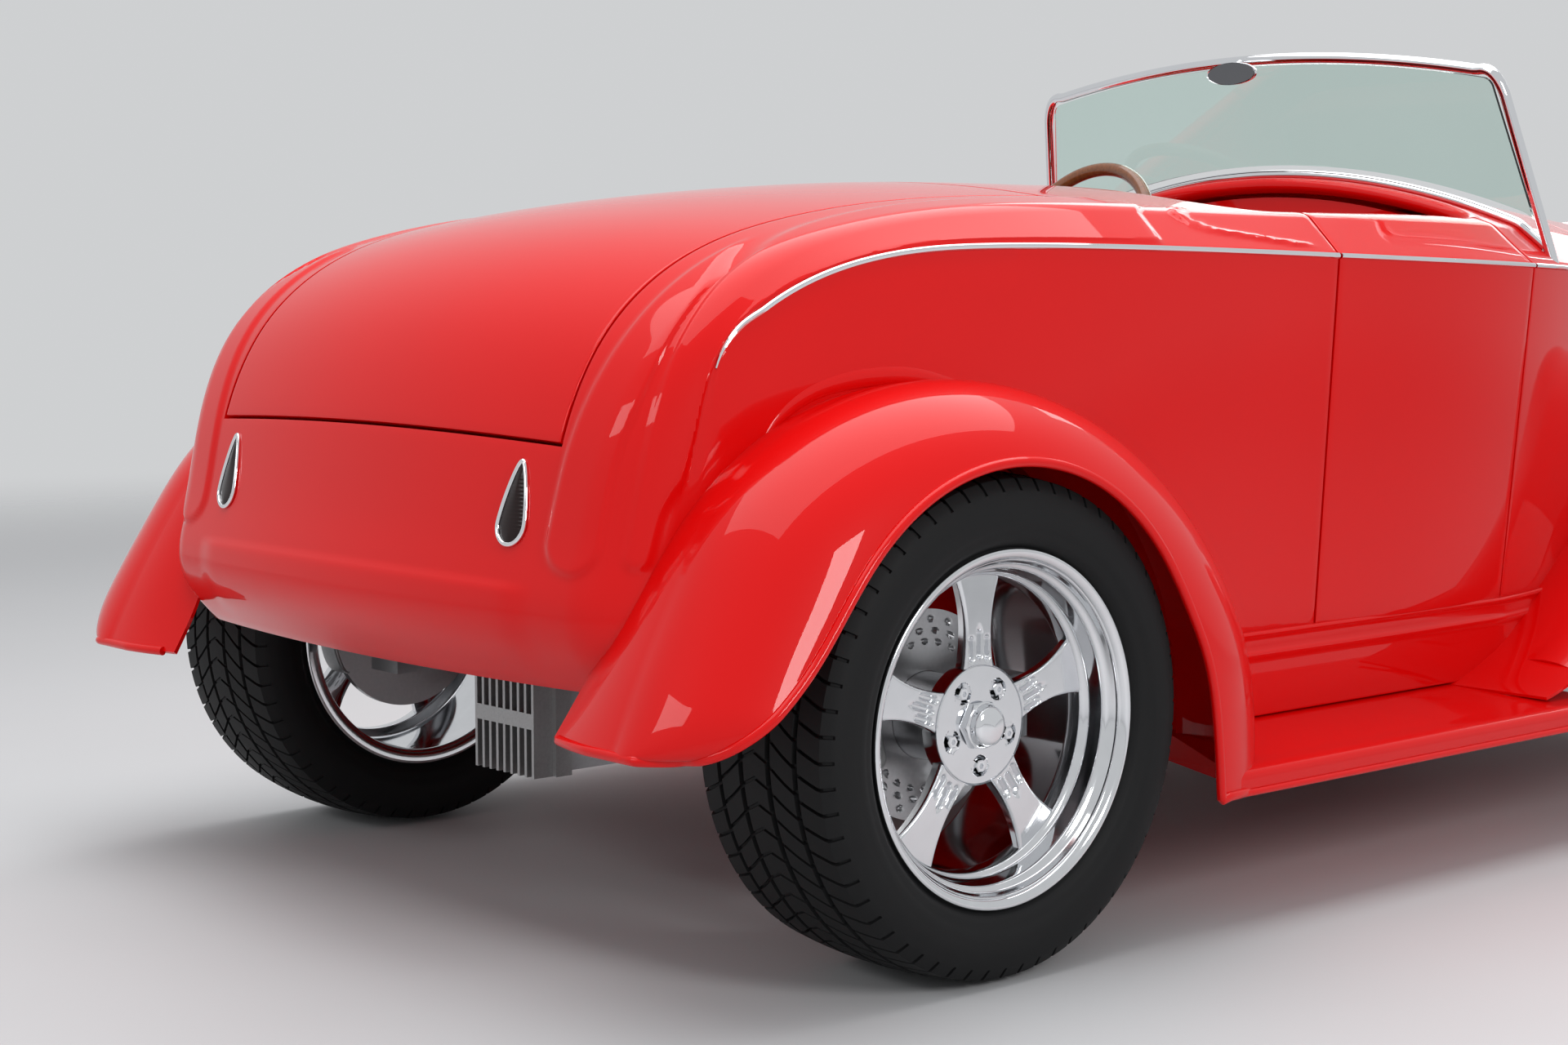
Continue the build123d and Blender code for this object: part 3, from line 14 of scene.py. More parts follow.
import bmesh
import bpy
import numpy as np
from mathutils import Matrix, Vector


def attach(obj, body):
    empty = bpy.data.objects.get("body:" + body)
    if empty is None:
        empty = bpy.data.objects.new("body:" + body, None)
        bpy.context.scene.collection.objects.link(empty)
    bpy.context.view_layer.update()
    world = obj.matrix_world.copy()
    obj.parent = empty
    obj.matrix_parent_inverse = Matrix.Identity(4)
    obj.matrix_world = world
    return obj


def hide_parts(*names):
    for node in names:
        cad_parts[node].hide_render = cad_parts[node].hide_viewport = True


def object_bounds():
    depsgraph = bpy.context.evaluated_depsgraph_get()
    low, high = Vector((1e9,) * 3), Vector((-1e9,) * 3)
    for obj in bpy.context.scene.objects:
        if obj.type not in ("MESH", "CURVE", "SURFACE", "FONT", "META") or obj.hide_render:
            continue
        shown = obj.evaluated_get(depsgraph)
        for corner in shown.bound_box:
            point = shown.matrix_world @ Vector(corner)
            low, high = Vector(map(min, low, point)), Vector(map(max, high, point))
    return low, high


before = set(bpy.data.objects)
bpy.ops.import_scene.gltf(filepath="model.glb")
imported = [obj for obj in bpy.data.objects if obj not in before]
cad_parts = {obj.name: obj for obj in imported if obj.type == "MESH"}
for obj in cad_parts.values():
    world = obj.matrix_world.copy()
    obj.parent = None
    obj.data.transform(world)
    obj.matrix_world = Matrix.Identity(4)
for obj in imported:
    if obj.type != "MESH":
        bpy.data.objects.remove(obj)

Array = np.ndarray
LOG = logging.getLogger("roadster")
CAD_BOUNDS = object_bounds()
MM = 0.001
REAR_AXLE_X = -1301.0
WHEELBASE = 2692.0
SIDES = {"left": 1.0, "right": -1.0}
REAR_TYRE_R = 352.0
SCREEN_X = 1604.0
FADE_START, FADE_END = 4.6, 9.0
COAT_ROUGHNESS, COAT_IOR, GLASS_IOR = 0.02, 1.36, 1.45


class Texture(Enum):
    """The kind of surface detail that a finish carries."""

    PAINT = "paint"
    POLISH = "polish"
    CAST = "cast"
    SATIN = "satin"
    RUBBER = "rubber"
    LEATHER = "leather"
    WOOD = "wood"
    GLASS = "glass"
    LENS = "lens"
    STAGE = "stage"


@dataclass(frozen=True)
class Finish:
    """A surface finish.

    Args:
        name: Material name.
        colour: Linear base colour.
        texture: Kind of surface detail.
        roughness: Mean roughness.
        metallic: Metallic share.
        coat: Clear coat weight.
        gloss: Specular level of the base under the coat.
        vary: Share by which the colour varies.
        grain: Size of the detail in metres.
        bump: Height of the detail in metres.
        slot: Material slot of the record; not used.
    """

    name: str
    colour: tuple[float, float, float]
    texture: Texture
    roughness: float
    metallic: float = 0.0
    coat: float = 0.0
    gloss: float = 0.5
    vary: float = 0.04
    grain: float = 0.01
    bump: float = 0.0
    slot: Optional[str] = None


RED = Finish(
    "red_paint", (0.74, 0.001, 0.001), Texture.PAINT, 0.42,
    coat=0.85, gloss=0.06, grain=0.35, slot="body_paint")
FRAME_RED = Finish(
    "frame_red", (0.44, 0.002, 0.001), Texture.PAINT, 0.45, coat=0.6, gloss=0.15, vary=0.10, grain=0.2)
CHROME = Finish(
    "chrome", (0.82, 0.83, 0.85), Texture.POLISH, 0.04,
    metallic=1.0, vary=0.03, grain=0.08, slot="chrome")
RIM = Finish(
    "polished_rim", (0.76, 0.77, 0.79), Texture.POLISH, 0.09,
    metallic=1.0, vary=0.06, grain=0.03, slot="polished_rim")
CAST = Finish(
    "cast_aluminium", (0.40, 0.40, 0.40), Texture.CAST, 0.44, 0.85,
    vary=0.18, grain=0.004, bump=0.0003)
IRON = Finish(
    "satin_black", (0.018, 0.018, 0.020), Texture.SATIN, 0.42, 0.2,
    vary=0.25, grain=0.02, bump=0.0001)
STEEL = Finish("brushed_steel", (0.42, 0.42, 0.43), Texture.SATIN, 0.30, 1.0, vary=0.12, grain=0.006)
# Mirror glass given a dark grey metal colour that paints a grey reflection in, where a bright mirror would
# show the pale backdrop.
MIRROR_PAINTED_GREY_REFLECTION = Finish("mirror_glass", (0.17, 0.17, 0.18), Texture.POLISH, 0.06, metallic=1.0, vary=0.05, grain=0.05)
RUBBER = Finish(
    "tyre_rubber", (0.0075, 0.0075, 0.008), Texture.RUBBER, 0.62,
    gloss=0.22, vary=0.30, grain=0.03, bump=0.0002, slot="tyre_rubber")
GLASS = Finish("screen_glass", (0.72, 0.86, 0.81), Texture.GLASS, 0.02, vary=0.02, grain=0.3)
LENS = Finish(
    "lamp_lens", (0.010, 0.0005, 0.0005), Texture.LENS, 0.16,
    coat=0.35, gloss=0.2, vary=0.4, grain=0.004, bump=0.0004, slot="lamp_lens")
CLEAR = Finish(
    "lamp_glass", (0.70, 0.72, 0.73), Texture.LENS, 0.10, 0.6, 1.0,
    vary=0.1, grain=0.01, bump=0.0006)
LEATHER = Finish(
    "seat_leather", (0.16, 0.006, 0.005), Texture.LEATHER, 0.46,
    gloss=0.3, vary=0.12, grain=0.004, bump=0.0004, slot="seat_leather")
WOOD = Finish(
    "rim_wood", (0.20, 0.066, 0.020), Texture.WOOD, 0.25,
    coat=0.8, vary=0.5, grain=0.012, slot="wheel_wood")
FLOOR = Finish("studio_floor", (0.62, 0.62, 0.63), Texture.STAGE, 0.55, gloss=0.25, vary=0.02, grain=0.6)


class Socket:
    """A node output that adds Math nodes where it is combined with a number or another."""

    def __init__(self, bench: "Bench", output: bpy.types.NodeSocket) -> None:
        """Wraps one output of a bench's node."""
        self.bench, self.output = bench, output

    def _math(self, operation: str, first: Any, second: Any) -> "Socket":
        """One Math node of two values."""
        return self.bench.node("ShaderNodeMath", {0: first, 1: second}, operation=operation)

    def __add__(self, other: Any) -> "Socket":
        """This plus another."""
        return self._math("ADD", self, other)

    def __mul__(self, other: Any) -> "Socket":
        """This times another."""
        return self._math("MULTIPLY", self, other)


class Bench:
    """Builds the node tree of a material or a world."""

    def __init__(self, owner: Any) -> None:
        """Takes a material or a world and empties its tree."""
        owner.use_nodes = True
        self.tree = owner.node_tree
        self.tree.nodes.clear()

    def node(self, kind: str, inputs: Optional[dict] = None, output: Any = 0, **settings: Any) -> Socket:
        """Adds any node.

        Args:
            kind: Blender's node type.
            inputs: Values or Sockets by input name or number.
            output: Name or number of the output wanted.
            **settings: Properties that are set first.

        Returns:
            The chosen output.
        """
        node = self.tree.nodes.new(kind)
        for key, value in settings.items():
            setattr(node, key, value)
        for key, value in (inputs or {}).items():
            if isinstance(value, Socket):
                self.tree.links.new(value.output, node.inputs[key])
            else:
                node.inputs[key].default_value = value
        return Socket(self, node.outputs[output]) if len(node.outputs) else None

    def noise(self, place: Socket, size: float, detail: float = 3.0) -> Socket:
        """Noise of a size in metres at a place."""
        return self.node("ShaderNodeTexNoise", {"Vector": place, "Scale": 1 / size, "Detail": detail})

    def shade(self, low: Sequence[float], high: Sequence[float], factor: Socket) -> Socket:
        """A colour between two."""
        return self.node(
            "ShaderNodeMix", {0: factor, 6: (*low, 1.0), 7: (*high, 1.0)}, output=2, data_type="RGBA")


class FinishShop:
    """Makes each finish's material once."""

    def __init__(self) -> None:
        """Starts with no materials."""
        self.made: dict[str, bpy.types.Material] = {}

    def get(self, finish: Finish) -> bpy.types.Material:
        """The material of a finish."""
        if finish.name not in self.made:
            self.made[finish.name] = self._build(finish)
        return self.made[finish.name]

    def _height(self, bench: Bench, finish: Finish, place: Socket) -> Optional[Socket]:
        """The height pattern of a finish's texture, nought to one."""
        if finish.texture is Texture.CAST:
            return bench.noise(place, finish.grain, 6.0)
        if finish.texture in (Texture.RUBBER, Texture.SATIN):
            return bench.noise(place, 0.0015, 3.0)
        if finish.texture is Texture.LEATHER:
            cells = bench.node("ShaderNodeTexVoronoi", {"Vector": place, "Scale": 1 / finish.grain})
            return cells * 0.8 + bench.noise(place, 0.016, 4.0) * 0.2
        if finish.texture is Texture.LENS:
            return bench.node(
                "ShaderNodeTexWave", {"Vector": place, "Scale": 60.0}, output="Fac", bands_direction="Z")
        return None

    def _build(self, finish: Finish) -> bpy.types.Material:
        """Builds the node tree: a varied colour and roughness, and a bump where it has one."""
        material = bpy.data.materials.new(finish.name)
        bench = Bench(material)
        place = bench.node("ShaderNodeTexCoord", output="Object")
        low = tuple(c * (1 - finish.vary) for c in finish.colour)
        high = tuple(min(1.0, c * (1 + finish.vary)) for c in finish.colour)
        broad = bench.noise(place, finish.grain, 4.0)
        if finish.texture is Texture.WOOD:
            along = bench.node("ShaderNodeMapping", {"Vector": place, "Scale": (0.15, 1.0, 1.0)})
            broad = bench.noise(along, finish.grain * 0.5, 5.0)
        inputs = {
            "Base Color": bench.shade(low, high, broad),
            "Roughness": broad * (0.2 * finish.roughness) + finish.roughness * 0.9,
            "Metallic": finish.metallic, "Coat Weight": finish.coat, "Coat Roughness": COAT_ROUGHNESS,
            "Coat IOR": COAT_IOR, "Specular IOR Level": finish.gloss,
        }
        if finish.texture is Texture.GLASS:
            inputs.update({"Transmission Weight": 1.0, "IOR": GLASS_IOR, "Roughness": finish.roughness})
        height = self._height(bench, finish, place)
        if height is not None and finish.bump:
            inputs["Normal"] = bench.node(
                "ShaderNodeBump", {"Height": height, "Distance": finish.bump, "Strength": 0.6})
        shader = bench.node("ShaderNodeBsdfPrincipled", inputs)
        if finish.texture is Texture.STAGE:
            far = bench.node("ShaderNodeVectorMath", {0: place}, output="Value", operation="LENGTH")
            fade = bench.node(
                "ShaderNodeMapRange", {"Value": far, "From Min": FADE_START, "From Max": FADE_END},
                interpolation_type="SMOOTHSTEP")
            clear = bench.node("ShaderNodeBsdfTransparent")
            shader = bench.node("ShaderNodeMixShader", {0: fade, 1: shader, 2: clear})
        bench.node("ShaderNodeOutputMaterial", {"Surface": shader})
        return material


SHOP = FinishShop()


class Track:
    """A natural cubic spline through rows of points, read at its own place for each column."""

    def __init__(self, knots: Sequence[float]) -> None:
        """Solves for the bending of a spline with increasing knots."""
        self.knots = np.asarray(knots, float)
        n, h = len(self.knots), np.diff(self.knots)
        left, right = np.eye(n), np.zeros((n, n))
        for i in range(1, n - 1):
            left[i, i - 1:i + 2] = h[i - 1] / 6, (h[i - 1] + h[i]) / 3, h[i] / 6
            right[i, i - 1:i + 2] = 1 / h[i - 1], -1 / h[i - 1] - 1 / h[i], 1 / h[i]
        self.curving = np.linalg.solve(left, right)

    def at(self, rows: Array, places: Array) -> Array:
        """Points of the spline: a weighted mean of the two rows on either side of a place, plus
        cubic terms of both weights times the bending there.

        Args:
            rows: Rows x columns x 3 points.
            places: A place for each column.

        Returns:
            Columns x 3 points.
        """
        bend = np.einsum("ij,jck->ick", self.curving, rows)
        i = np.clip(np.searchsorted(self.knots, places) - 1, 0, len(self.knots) - 2)
        h = self.knots[i + 1] - self.knots[i]
        b = (places - self.knots[i]) / h
        a, c = 1 - b, np.arange(rows.shape[1])
        bent = (a**3 - a)[:, None] * bend[i, c] + (b**3 - b)[:, None] * bend[i + 1, c]
        return a[:, None] * rows[i, c] + b[:, None] * rows[i + 1, c] + bent * (h**2)[:, None] / 6


def arc_points(start: Array, middle: Array, end: Array, share: Array) -> Array:
    """Points of the arc through three points of a plane, at shares of its length.

    The centre is as far from all three; the angle runs evenly from the start to the end
    by way of the middle.
    """
    (ax, ay), (bx, by), (cx, cy) = start, middle, end
    d = 2 * (ax * (by - cy) + bx * (cy - ay) + cx * (ay - by))
    aa, bb, cc = ax**2 + ay**2, bx**2 + by**2, cx**2 + cy**2
    centre = np.array([
        (aa * (by - cy) + bb * (cy - ay) + cc * (ay - by)) / d,
        (aa * (cx - bx) + bb * (ax - cx) + cc * (bx - ax)) / d])
    angles = [math.atan2(p[1] - centre[1], p[0] - centre[0]) for p in (start, middle, end)]
    turn = (angles[2] - angles[0] + math.pi) % math.tau - math.pi
    part = (angles[1] - angles[0] + math.pi) % math.tau - math.pi
    if turn * part < 0:
        turn -= math.copysign(math.tau, turn)
    a = angles[0] + turn * share
    return centre + np.hypot(*(np.asarray(start) - centre)) * np.stack([np.cos(a), np.sin(a)], 1)


@dataclass(frozen=True)
class SkinRow:
    """A section of a skin: its plane's station, height and turn, then lengths along the turn
    and half widths of its foot, belt and edge, the crown's length, the shoulder's radius and
    the share over which the belt's crease is rounded."""

    x: float
    z: float
    turn: float
    foot: float
    foot_y: float
    belt: float
    belt_y: float
    edge: float
    edge_y: float
    crown: float
    corner_r: float
    ease_belt: float = 0.004


class Skin:
    """A body skin swept through its sections.

    A point has a station, and a share from the centre line: nought on the crown, BELT at the
    belt's crease, one at the foot, negative on the car's right.
    """

    ROUND_END, ROUND_START, BELT = 0.40, 0.55, 0.75

    def __init__(self, rows: Sequence[SkinRow], stations: Sequence[float]) -> None:
        """Takes the sections and their stations."""
        self.rows, self.track = rows, Track(stations)

    def section(self, row: SkinRow, share: Array) -> Array:
        """A row's points: the crown's arc, the shoulder's arc, a line to the belt, a line down."""
        foot = np.array([row.foot_y, row.foot])
        belt = np.array([row.belt_y, row.belt])
        edge = np.array([row.edge_y, row.edge])
        rise = row.crown - edge[1]
        crown_r = (edge[0] ** 2 + rise**2) / (2 * rise)
        centre = np.array([0.0, row.crown - crown_r])
        down = (belt - edge) / np.linalg.norm(belt - edge)
        radial = (edge - centre) / np.linalg.norm(edge - centre)
        across = np.array([-radial[1], radial[0]])
        half = math.acos(float(np.clip(down @ across, -1, 1))) / 2
        run = row.corner_r / math.tan(half)
        inward = row.corner_r / math.sin(half) - row.corner_r
        middle = edge + (down + across) / np.linalg.norm(down + across) * inward
        turn = math.atan2(radial[0], radial[1]) - run / crown_r
        start = edge + down * run
        end = centre + crown_r * np.array([math.sin(turn), math.cos(turn)])
        a = turn * np.clip(share / self.ROUND_END, 0, 1)
        crown = centre + crown_r * np.stack([np.sin(a), np.cos(a)], 1)
        s = np.clip((share - self.ROUND_END) / (self.ROUND_START - self.ROUND_END), 0, 1)
        corner = arc_points(end, middle, start, s)
        s = np.clip((share - self.ROUND_START) / (self.BELT - self.ROUND_START), 0, 1)[:, None]
        flank = start + (belt - start) * s
        s = np.clip((share - self.BELT) / (1 - self.BELT), 0, 1)[:, None]
        side = belt + (foot - belt) * s
        wide, low = row.ease_belt, row.ease_belt * 0.35
        t = np.clip((share - self.BELT + wide) / (wide + low), 0, 1)[:, None]
        above = belt + (start - belt) * wide / (self.BELT - self.ROUND_START)
        below = belt + (foot - belt) * low / (1 - self.BELT)
        bend = (1 - t) ** 2 * above + 2 * t * (1 - t) * belt + t**2 * below
        zone = np.digitize(share, [self.ROUND_END, self.ROUND_START, self.BELT - wide, self.BELT + low])
        out = np.choose(zone[:, None], [crown, corner, flank, bend, side])
        t = math.radians(row.turn)
        return np.stack([
            REAR_AXLE_X + row.x + out[:, 1] * math.cos(t), out[:, 0], row.z + out[:, 1] * math.sin(t)], 1)

    def at(self, v: Array, share: Array) -> Array:
        """Points at stations and signed shares, arrays of one shape."""
        v, share = np.broadcast_arrays(np.asarray(v, float), np.asarray(share, float))
        flat = np.abs(share).ravel()
        rows = np.stack([self.section(row, flat) for row in self.rows])
        p = self.track.at(rows, v.ravel())
        p[:, 1] *= np.where(share.ravel() < 0, -1.0, 1.0)
        return p.reshape(*v.shape, 3)

    def normal(self, v: Array, share: Array) -> Array:
        """Outward normals, across two short steps that stop short of the belt's crease."""
        v, share = np.broadcast_arrays(np.asarray(v, float), np.asarray(share, float))
        step = 0.002
        off = np.where(np.abs(np.abs(share) - self.BELT) < 2 * step, step * 3, 0.0)
        share = share - np.sign(share) * off
        across = self.at(v, share + step) - self.at(v, share - step)
        along = self.at(v + 2, share) - self.at(v - 2, share)
        n = np.cross(along, across)
        return n / (np.linalg.norm(n, axis=-1, keepdims=True) + 1e-12)

    def share_where(self, v: Array, axis: int, value: Array) -> Array:
        """The share at which a half width (axis 1) or a height (axis 2) is reached."""
        v, value = np.broadcast_arrays(np.asarray(v, float), np.asarray(value, float))
        shares = np.linspace(0.01, self.BELT, 150)
        reach = self.at(v.ravel()[:, None], shares[None])[..., axis]
        sign = 1.0 if axis == 1 else -1.0
        found = [np.interp(sign * want, sign * line, shares) for want, line in zip(value.ravel(), reach)]
        return np.array(found).reshape(v.shape)


BOOT_X, BOOT_Z, PER_DEGREE = 150.0, 430.0, 11.3
TAIL_ROWS = [
    (182, 60, 622, 420, 622, 592, 588, 638, 110, 0.11), (175, 60, 624, 450, 624, 650, 598, 697, 112, 0.11),
    (166, 60, 626, 500, 626, 656, 600, 700, 112, 0.11), (153, 60, 628, 560, 628, 674, 598, 718, 105, 0.09),
    (140, 60, 630, 640, 630, 692, 592, 737, 92, 0.012), (127, 60, 632, 638, 632, 680, 588, 721, 76),
    (110, 60, 633, 600, 636, 642, 586, 682, 66),
]
CABIN_ROWS = [
    SkinRow(150, 0, 90, 385, 633, 1010, 640, 1062, 584, 1103, 60),
    SkinRow(450, 0, 90, 385, 616, 1010, 646, 1070, 577, 1122, 60),
    SkinRow(950, 0, 90, 385, 603, 1000, 650, 1066, 566, 1128, 55),
    SkinRow(1500, 0, 90, 385, 598, 985, 652, 1058, 562, 1156, 50),
    SkinRow(1950, 0, 90, 385, 480, 972, 540, 1038, 462, 1128, 50),
]
HOOD_ROWS = [
    SkinRow(1950, 0, 90, 500, 487, 972, 540, 1038, 462, 1128, 50),
    SkinRow(2290, 0, 90, 560, 382, 958, 425, 1020, 350, 1098, 48),
    SkinRow(2760, 0, 90, 640, 232, 938, 268, 1000, 198, 1058, 45),
]


def turn_station(turn: float) -> float:
    """The station that stands for a tail section's turn."""
    return BOOT_X - (turn - 90) * PER_DEGREE


def body_skin() -> Skin:
    """The body's skin, tail and cabin together."""
    tail = [SkinRow(BOOT_X, BOOT_Z, *row) for row in TAIL_ROWS]
    return Skin(tail + CABIN_ROWS, [turn_station(r.turn) for r in tail] + [r.x for r in CABIN_ROWS])


def hood_skin() -> Skin:
    """The hood's skin."""
    return Skin(HOOD_ROWS, [r.x for r in HOOD_ROWS])


class Forge:
    """Gathers grids of points in millimetres into one mesh object."""

    def __init__(self) -> None:
        """Starts empty."""
        self.points: list[Array] = []
        self.faces: list[Array] = []
        self.count = 0

    def grid(
        self, p: Array, out_from: Optional[Sequence[float]] = None, around: bool = False,
        keep: Optional[Array] = None,
    ) -> "Forge":
        """Adds a grid as quads.

        Args:
            p: Rows x columns x 3 points.
            out_from: A point that the faces turn away from.
            around: Whether the last column joins the first.
            keep: Which cells are kept.

        Returns:
            The forge itself.
        """
        rows, cols = p.shape[:2]
        ids = self.count + np.arange(rows * cols).reshape(rows, cols)
        if around:
            ids = np.concatenate([ids, ids[:, :1]], 1)
        quads = np.stack([ids[:-1, :-1], ids[1:, :-1], ids[1:, 1:], ids[:-1, 1:]], -1)
        quads = (quads[keep] if keep is not None else quads).reshape(-1, 4)
        if out_from is not None:
            q = p.reshape(-1, 3)[quads - self.count]
            n = np.cross(q[:, 2] - q[:, 0], q[:, 3] - q[:, 1])
            if np.sum(n * (q.mean(1) - np.asarray(out_from))) < 0:
                quads = quads[:, ::-1]
        self.faces.append(quads)
        self.points.append(p.reshape(-1, 3))
        self.count += rows * cols
        return self

    def closed(self, p: Array) -> "Forge":
        """Adds a ring-wise grid with both end rings closed to their middles."""
        ends = [np.repeat(p[k].mean(0)[None, None], p.shape[1], 1) for k in (0, -1)]
        return self.grid(np.concatenate([ends[0], p, ends[1]]), around=True)

    def build(
        self, name: str, finish: Finish, body: str, replaces: Sequence[str] = (), wall: float = 0.0,
        bevel: float = 0.0, sharp: float = 32.0,
    ) -> bpy.types.Object:
        """Makes the object, gives it a finish and ties it to the frame.

        Args:
            name: Name of the piece.
            finish: Its finish.
            body: The CAD body that it rides on.
            replaces: CAD nodes that it stands for.
            wall: Thickness given inwards to an open sheet, in millimetres.
            bevel: Width of the rounding of its edges, in millimetres.
            sharp: Angle in degrees above which an edge shades sharp.

        Returns:
            The Blender object.
        """
        mesh = bpy.data.meshes.new(name)
        mesh.from_pydata((np.concatenate(self.points) * MM).tolist(), [], np.concatenate(self.faces).tolist())
        form = bmesh.new()
        form.from_mesh(mesh)
        bmesh.ops.remove_doubles(form, verts=form.verts, dist=0.00002)
        bmesh.ops.dissolve_degenerate(form, edges=form.edges, dist=0.00001)
        if not wall:
            bmesh.ops.recalc_face_normals(form, faces=form.faces)
        loose = [v for v in form.verts if not v.link_faces]
        bmesh.ops.delete(form, geom=loose, context="VERTS")
        form.to_mesh(mesh)
        form.free()
        piece = bpy.data.objects.new(name, mesh)
        bpy.context.scene.collection.objects.link(piece)
        if wall:
            sheet = piece.modifiers.new("wall", "SOLIDIFY")
            sheet.thickness, sheet.offset = wall * MM, -1.0
        if bevel:
            edge = piece.modifiers.new("edge", "BEVEL")
            edge.width, edge.segments, edge.limit_method = bevel * MM, 3, "ANGLE"
            edge.angle_limit, edge.use_clamp_overlap = math.radians(50), True
        if wall or bevel:
            settle(piece)
        piece.data.polygons.foreach_set("use_smooth", np.ones(len(piece.data.polygons), bool))
        piece.data.set_sharp_from_angle(angle=math.radians(sharp))
        return dress(piece, finish, body, replaces)


def settle(piece: bpy.types.Object) -> None:
    """Applies all of a piece's modifiers to its mesh."""
    graph = bpy.context.evaluated_depsgraph_get()
    mesh = bpy.data.meshes.new_from_object(piece.evaluated_get(graph))
    piece.modifiers.clear()
    piece.data = mesh


def dress(
    piece: bpy.types.Object, finish: Finish, body: str, replaces: Sequence[str] = (),
) -> bpy.types.Object:
    """Gives a new piece its finish, its body, and the nodes that it stands for."""
    piece.data.materials.clear()
    piece.data.materials.append(SHOP.get(finish))
    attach(piece, body)
    if replaces:
        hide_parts(*replaces)
    LOG.info("%s: %d faces on %s", piece.name, len(piece.data.polygons), body)
    return piece


def tube(
    path: Array, radius: Any, sides: int = 12, up: Sequence[float] = (0, 0, 1), flat: float = 1.0,
) -> Array:
    """Rings round a path: the radius times cosine and sine along two axes across its tangent.

    Args:
        path: Points of the path.
        radius: Radius, or one for each point.
        sides: Points in a ring.
        up: Direction near which the second axis stays.
        flat: The second axis's share of the radius.

    Returns:
        Path points x sides x 3 points.
    """
    along = np.gradient(path, axis=0)
    along /= np.linalg.norm(along, axis=1, keepdims=True) + 1e-12
    side = np.cross(along, np.asarray(up, float))
    side /= np.linalg.norm(side, axis=1, keepdims=True) + 1e-12
    rise = np.cross(side, along)
    a = np.linspace(0, math.tau, sides, endpoint=False)
    radius = np.broadcast_to(np.asarray(radius, float), (len(path),))[:, None, None]
    ring = np.cos(a)[None, :, None] * side[:, None] + flat * np.sin(a)[None, :, None] * rise[:, None]
    return path[:, None] + radius * ring


def lathe(profile: Array, centre: Sequence[float], axis: int, steps: int = 96) -> Array:
    """A profile turned about an axis: the first column along it, the second its radius."""
    profile = np.asarray(profile, float)
    a = np.linspace(0, math.tau, steps, endpoint=False)
    out = np.zeros((len(profile), steps, 3))
    others = [k for k in range(3) if k != axis]
    out[..., axis] = profile[:, :1]
    out[..., others[0]] = profile[:, 1:] * np.cos(a)
    out[..., others[1]] = profile[:, 1:] * np.sin(a)
    return out + np.asarray(centre, float)


def round_axle(radius: Array, out: Any, angle: Array) -> Array:
    """Points at radii and angles about the second axis, and distances along it."""
    return np.stack([radius * np.cos(angle), np.broadcast_to(out, radius.shape), radius * np.sin(angle)], -1)


def resample(points: Array, count: int) -> Array:
    """Even points along a polyline, by its length."""
    points = np.asarray(points, float)
    run = np.concatenate([[0], np.cumsum(np.linalg.norm(np.diff(points, axis=0), axis=1))])
    places = np.linspace(0, run[-1], count)
    return np.stack([np.interp(places, run, points[:, k]) for k in range(points.shape[1])], 1)


def smooth_line(points: Sequence[Sequence[float]], count: int) -> Array:
    """A natural spline through points, knotted by their distances."""
    points = np.asarray(points, float)
    run = np.concatenate([[0], np.cumsum(np.linalg.norm(np.diff(points, axis=0), axis=1))])
    width = points.shape[1]
    rows = np.zeros((len(points), count, 3))
    rows[..., :width] = points[:, None]
    return Track(run).at(rows, np.linspace(0, run[-1], count))[:, :width]


def rounded(profile: Sequence[Sequence[float]], radius: float, steps: int = 4) -> Array:
    """A polyline with each inner corner turned into a quadratic curve between two cut points."""
    p = np.asarray(profile, float)
    out = [p[0]]
    for before, here, after in zip(p[:-2], p[1:-1], p[2:]):
        back, on = before - here, after - here
        cut_back = here + back * min(0.5, radius / (np.linalg.norm(back) + 1e-9))
        cut_on = here + on * min(0.5, radius / (np.linalg.norm(on) + 1e-9))
        t = np.linspace(0, 1, steps + 1)[:, None]
        out.extend((1 - t) ** 2 * cut_back + 2 * t * (1 - t) * here + t**2 * cut_on)
    out.append(p[-1])
    return np.array(out)


def joined(*spans: tuple[float, int]) -> Array:
    """Even steps from each value to the next, the last value included."""
    parts = [np.linspace(a, b, n + 1)[:-1] for (a, n), (b, _) in zip(spans[:-1], spans[1:])]
    return np.concatenate([*parts, [spans[-1][0]]])


def ease(x: Array) -> Array:
    """Nought to one with level ends: three x squared less two x cubed."""
    x = np.clip(x, 0, 1)
    return x * x * (3 - 2 * x)


def nearest(points: Array, line: Array) -> Array:
    """Distance from each point to the nearest of a line's dense points."""
    flat = points.reshape(-1, points.shape[-1])
    out = np.full(len(flat), 1e9)
    for start in range(0, len(flat), 4000):
        block = flat[start:start + 4000]
        out[start:start + 4000] = np.sqrt(((block[:, None] - line[None]) ** 2).sum(2).min(1))
    return out.reshape(points.shape[:-1])


PER_SHARE = 1000.0
Rows = tuple[tuple[float, float], ...]


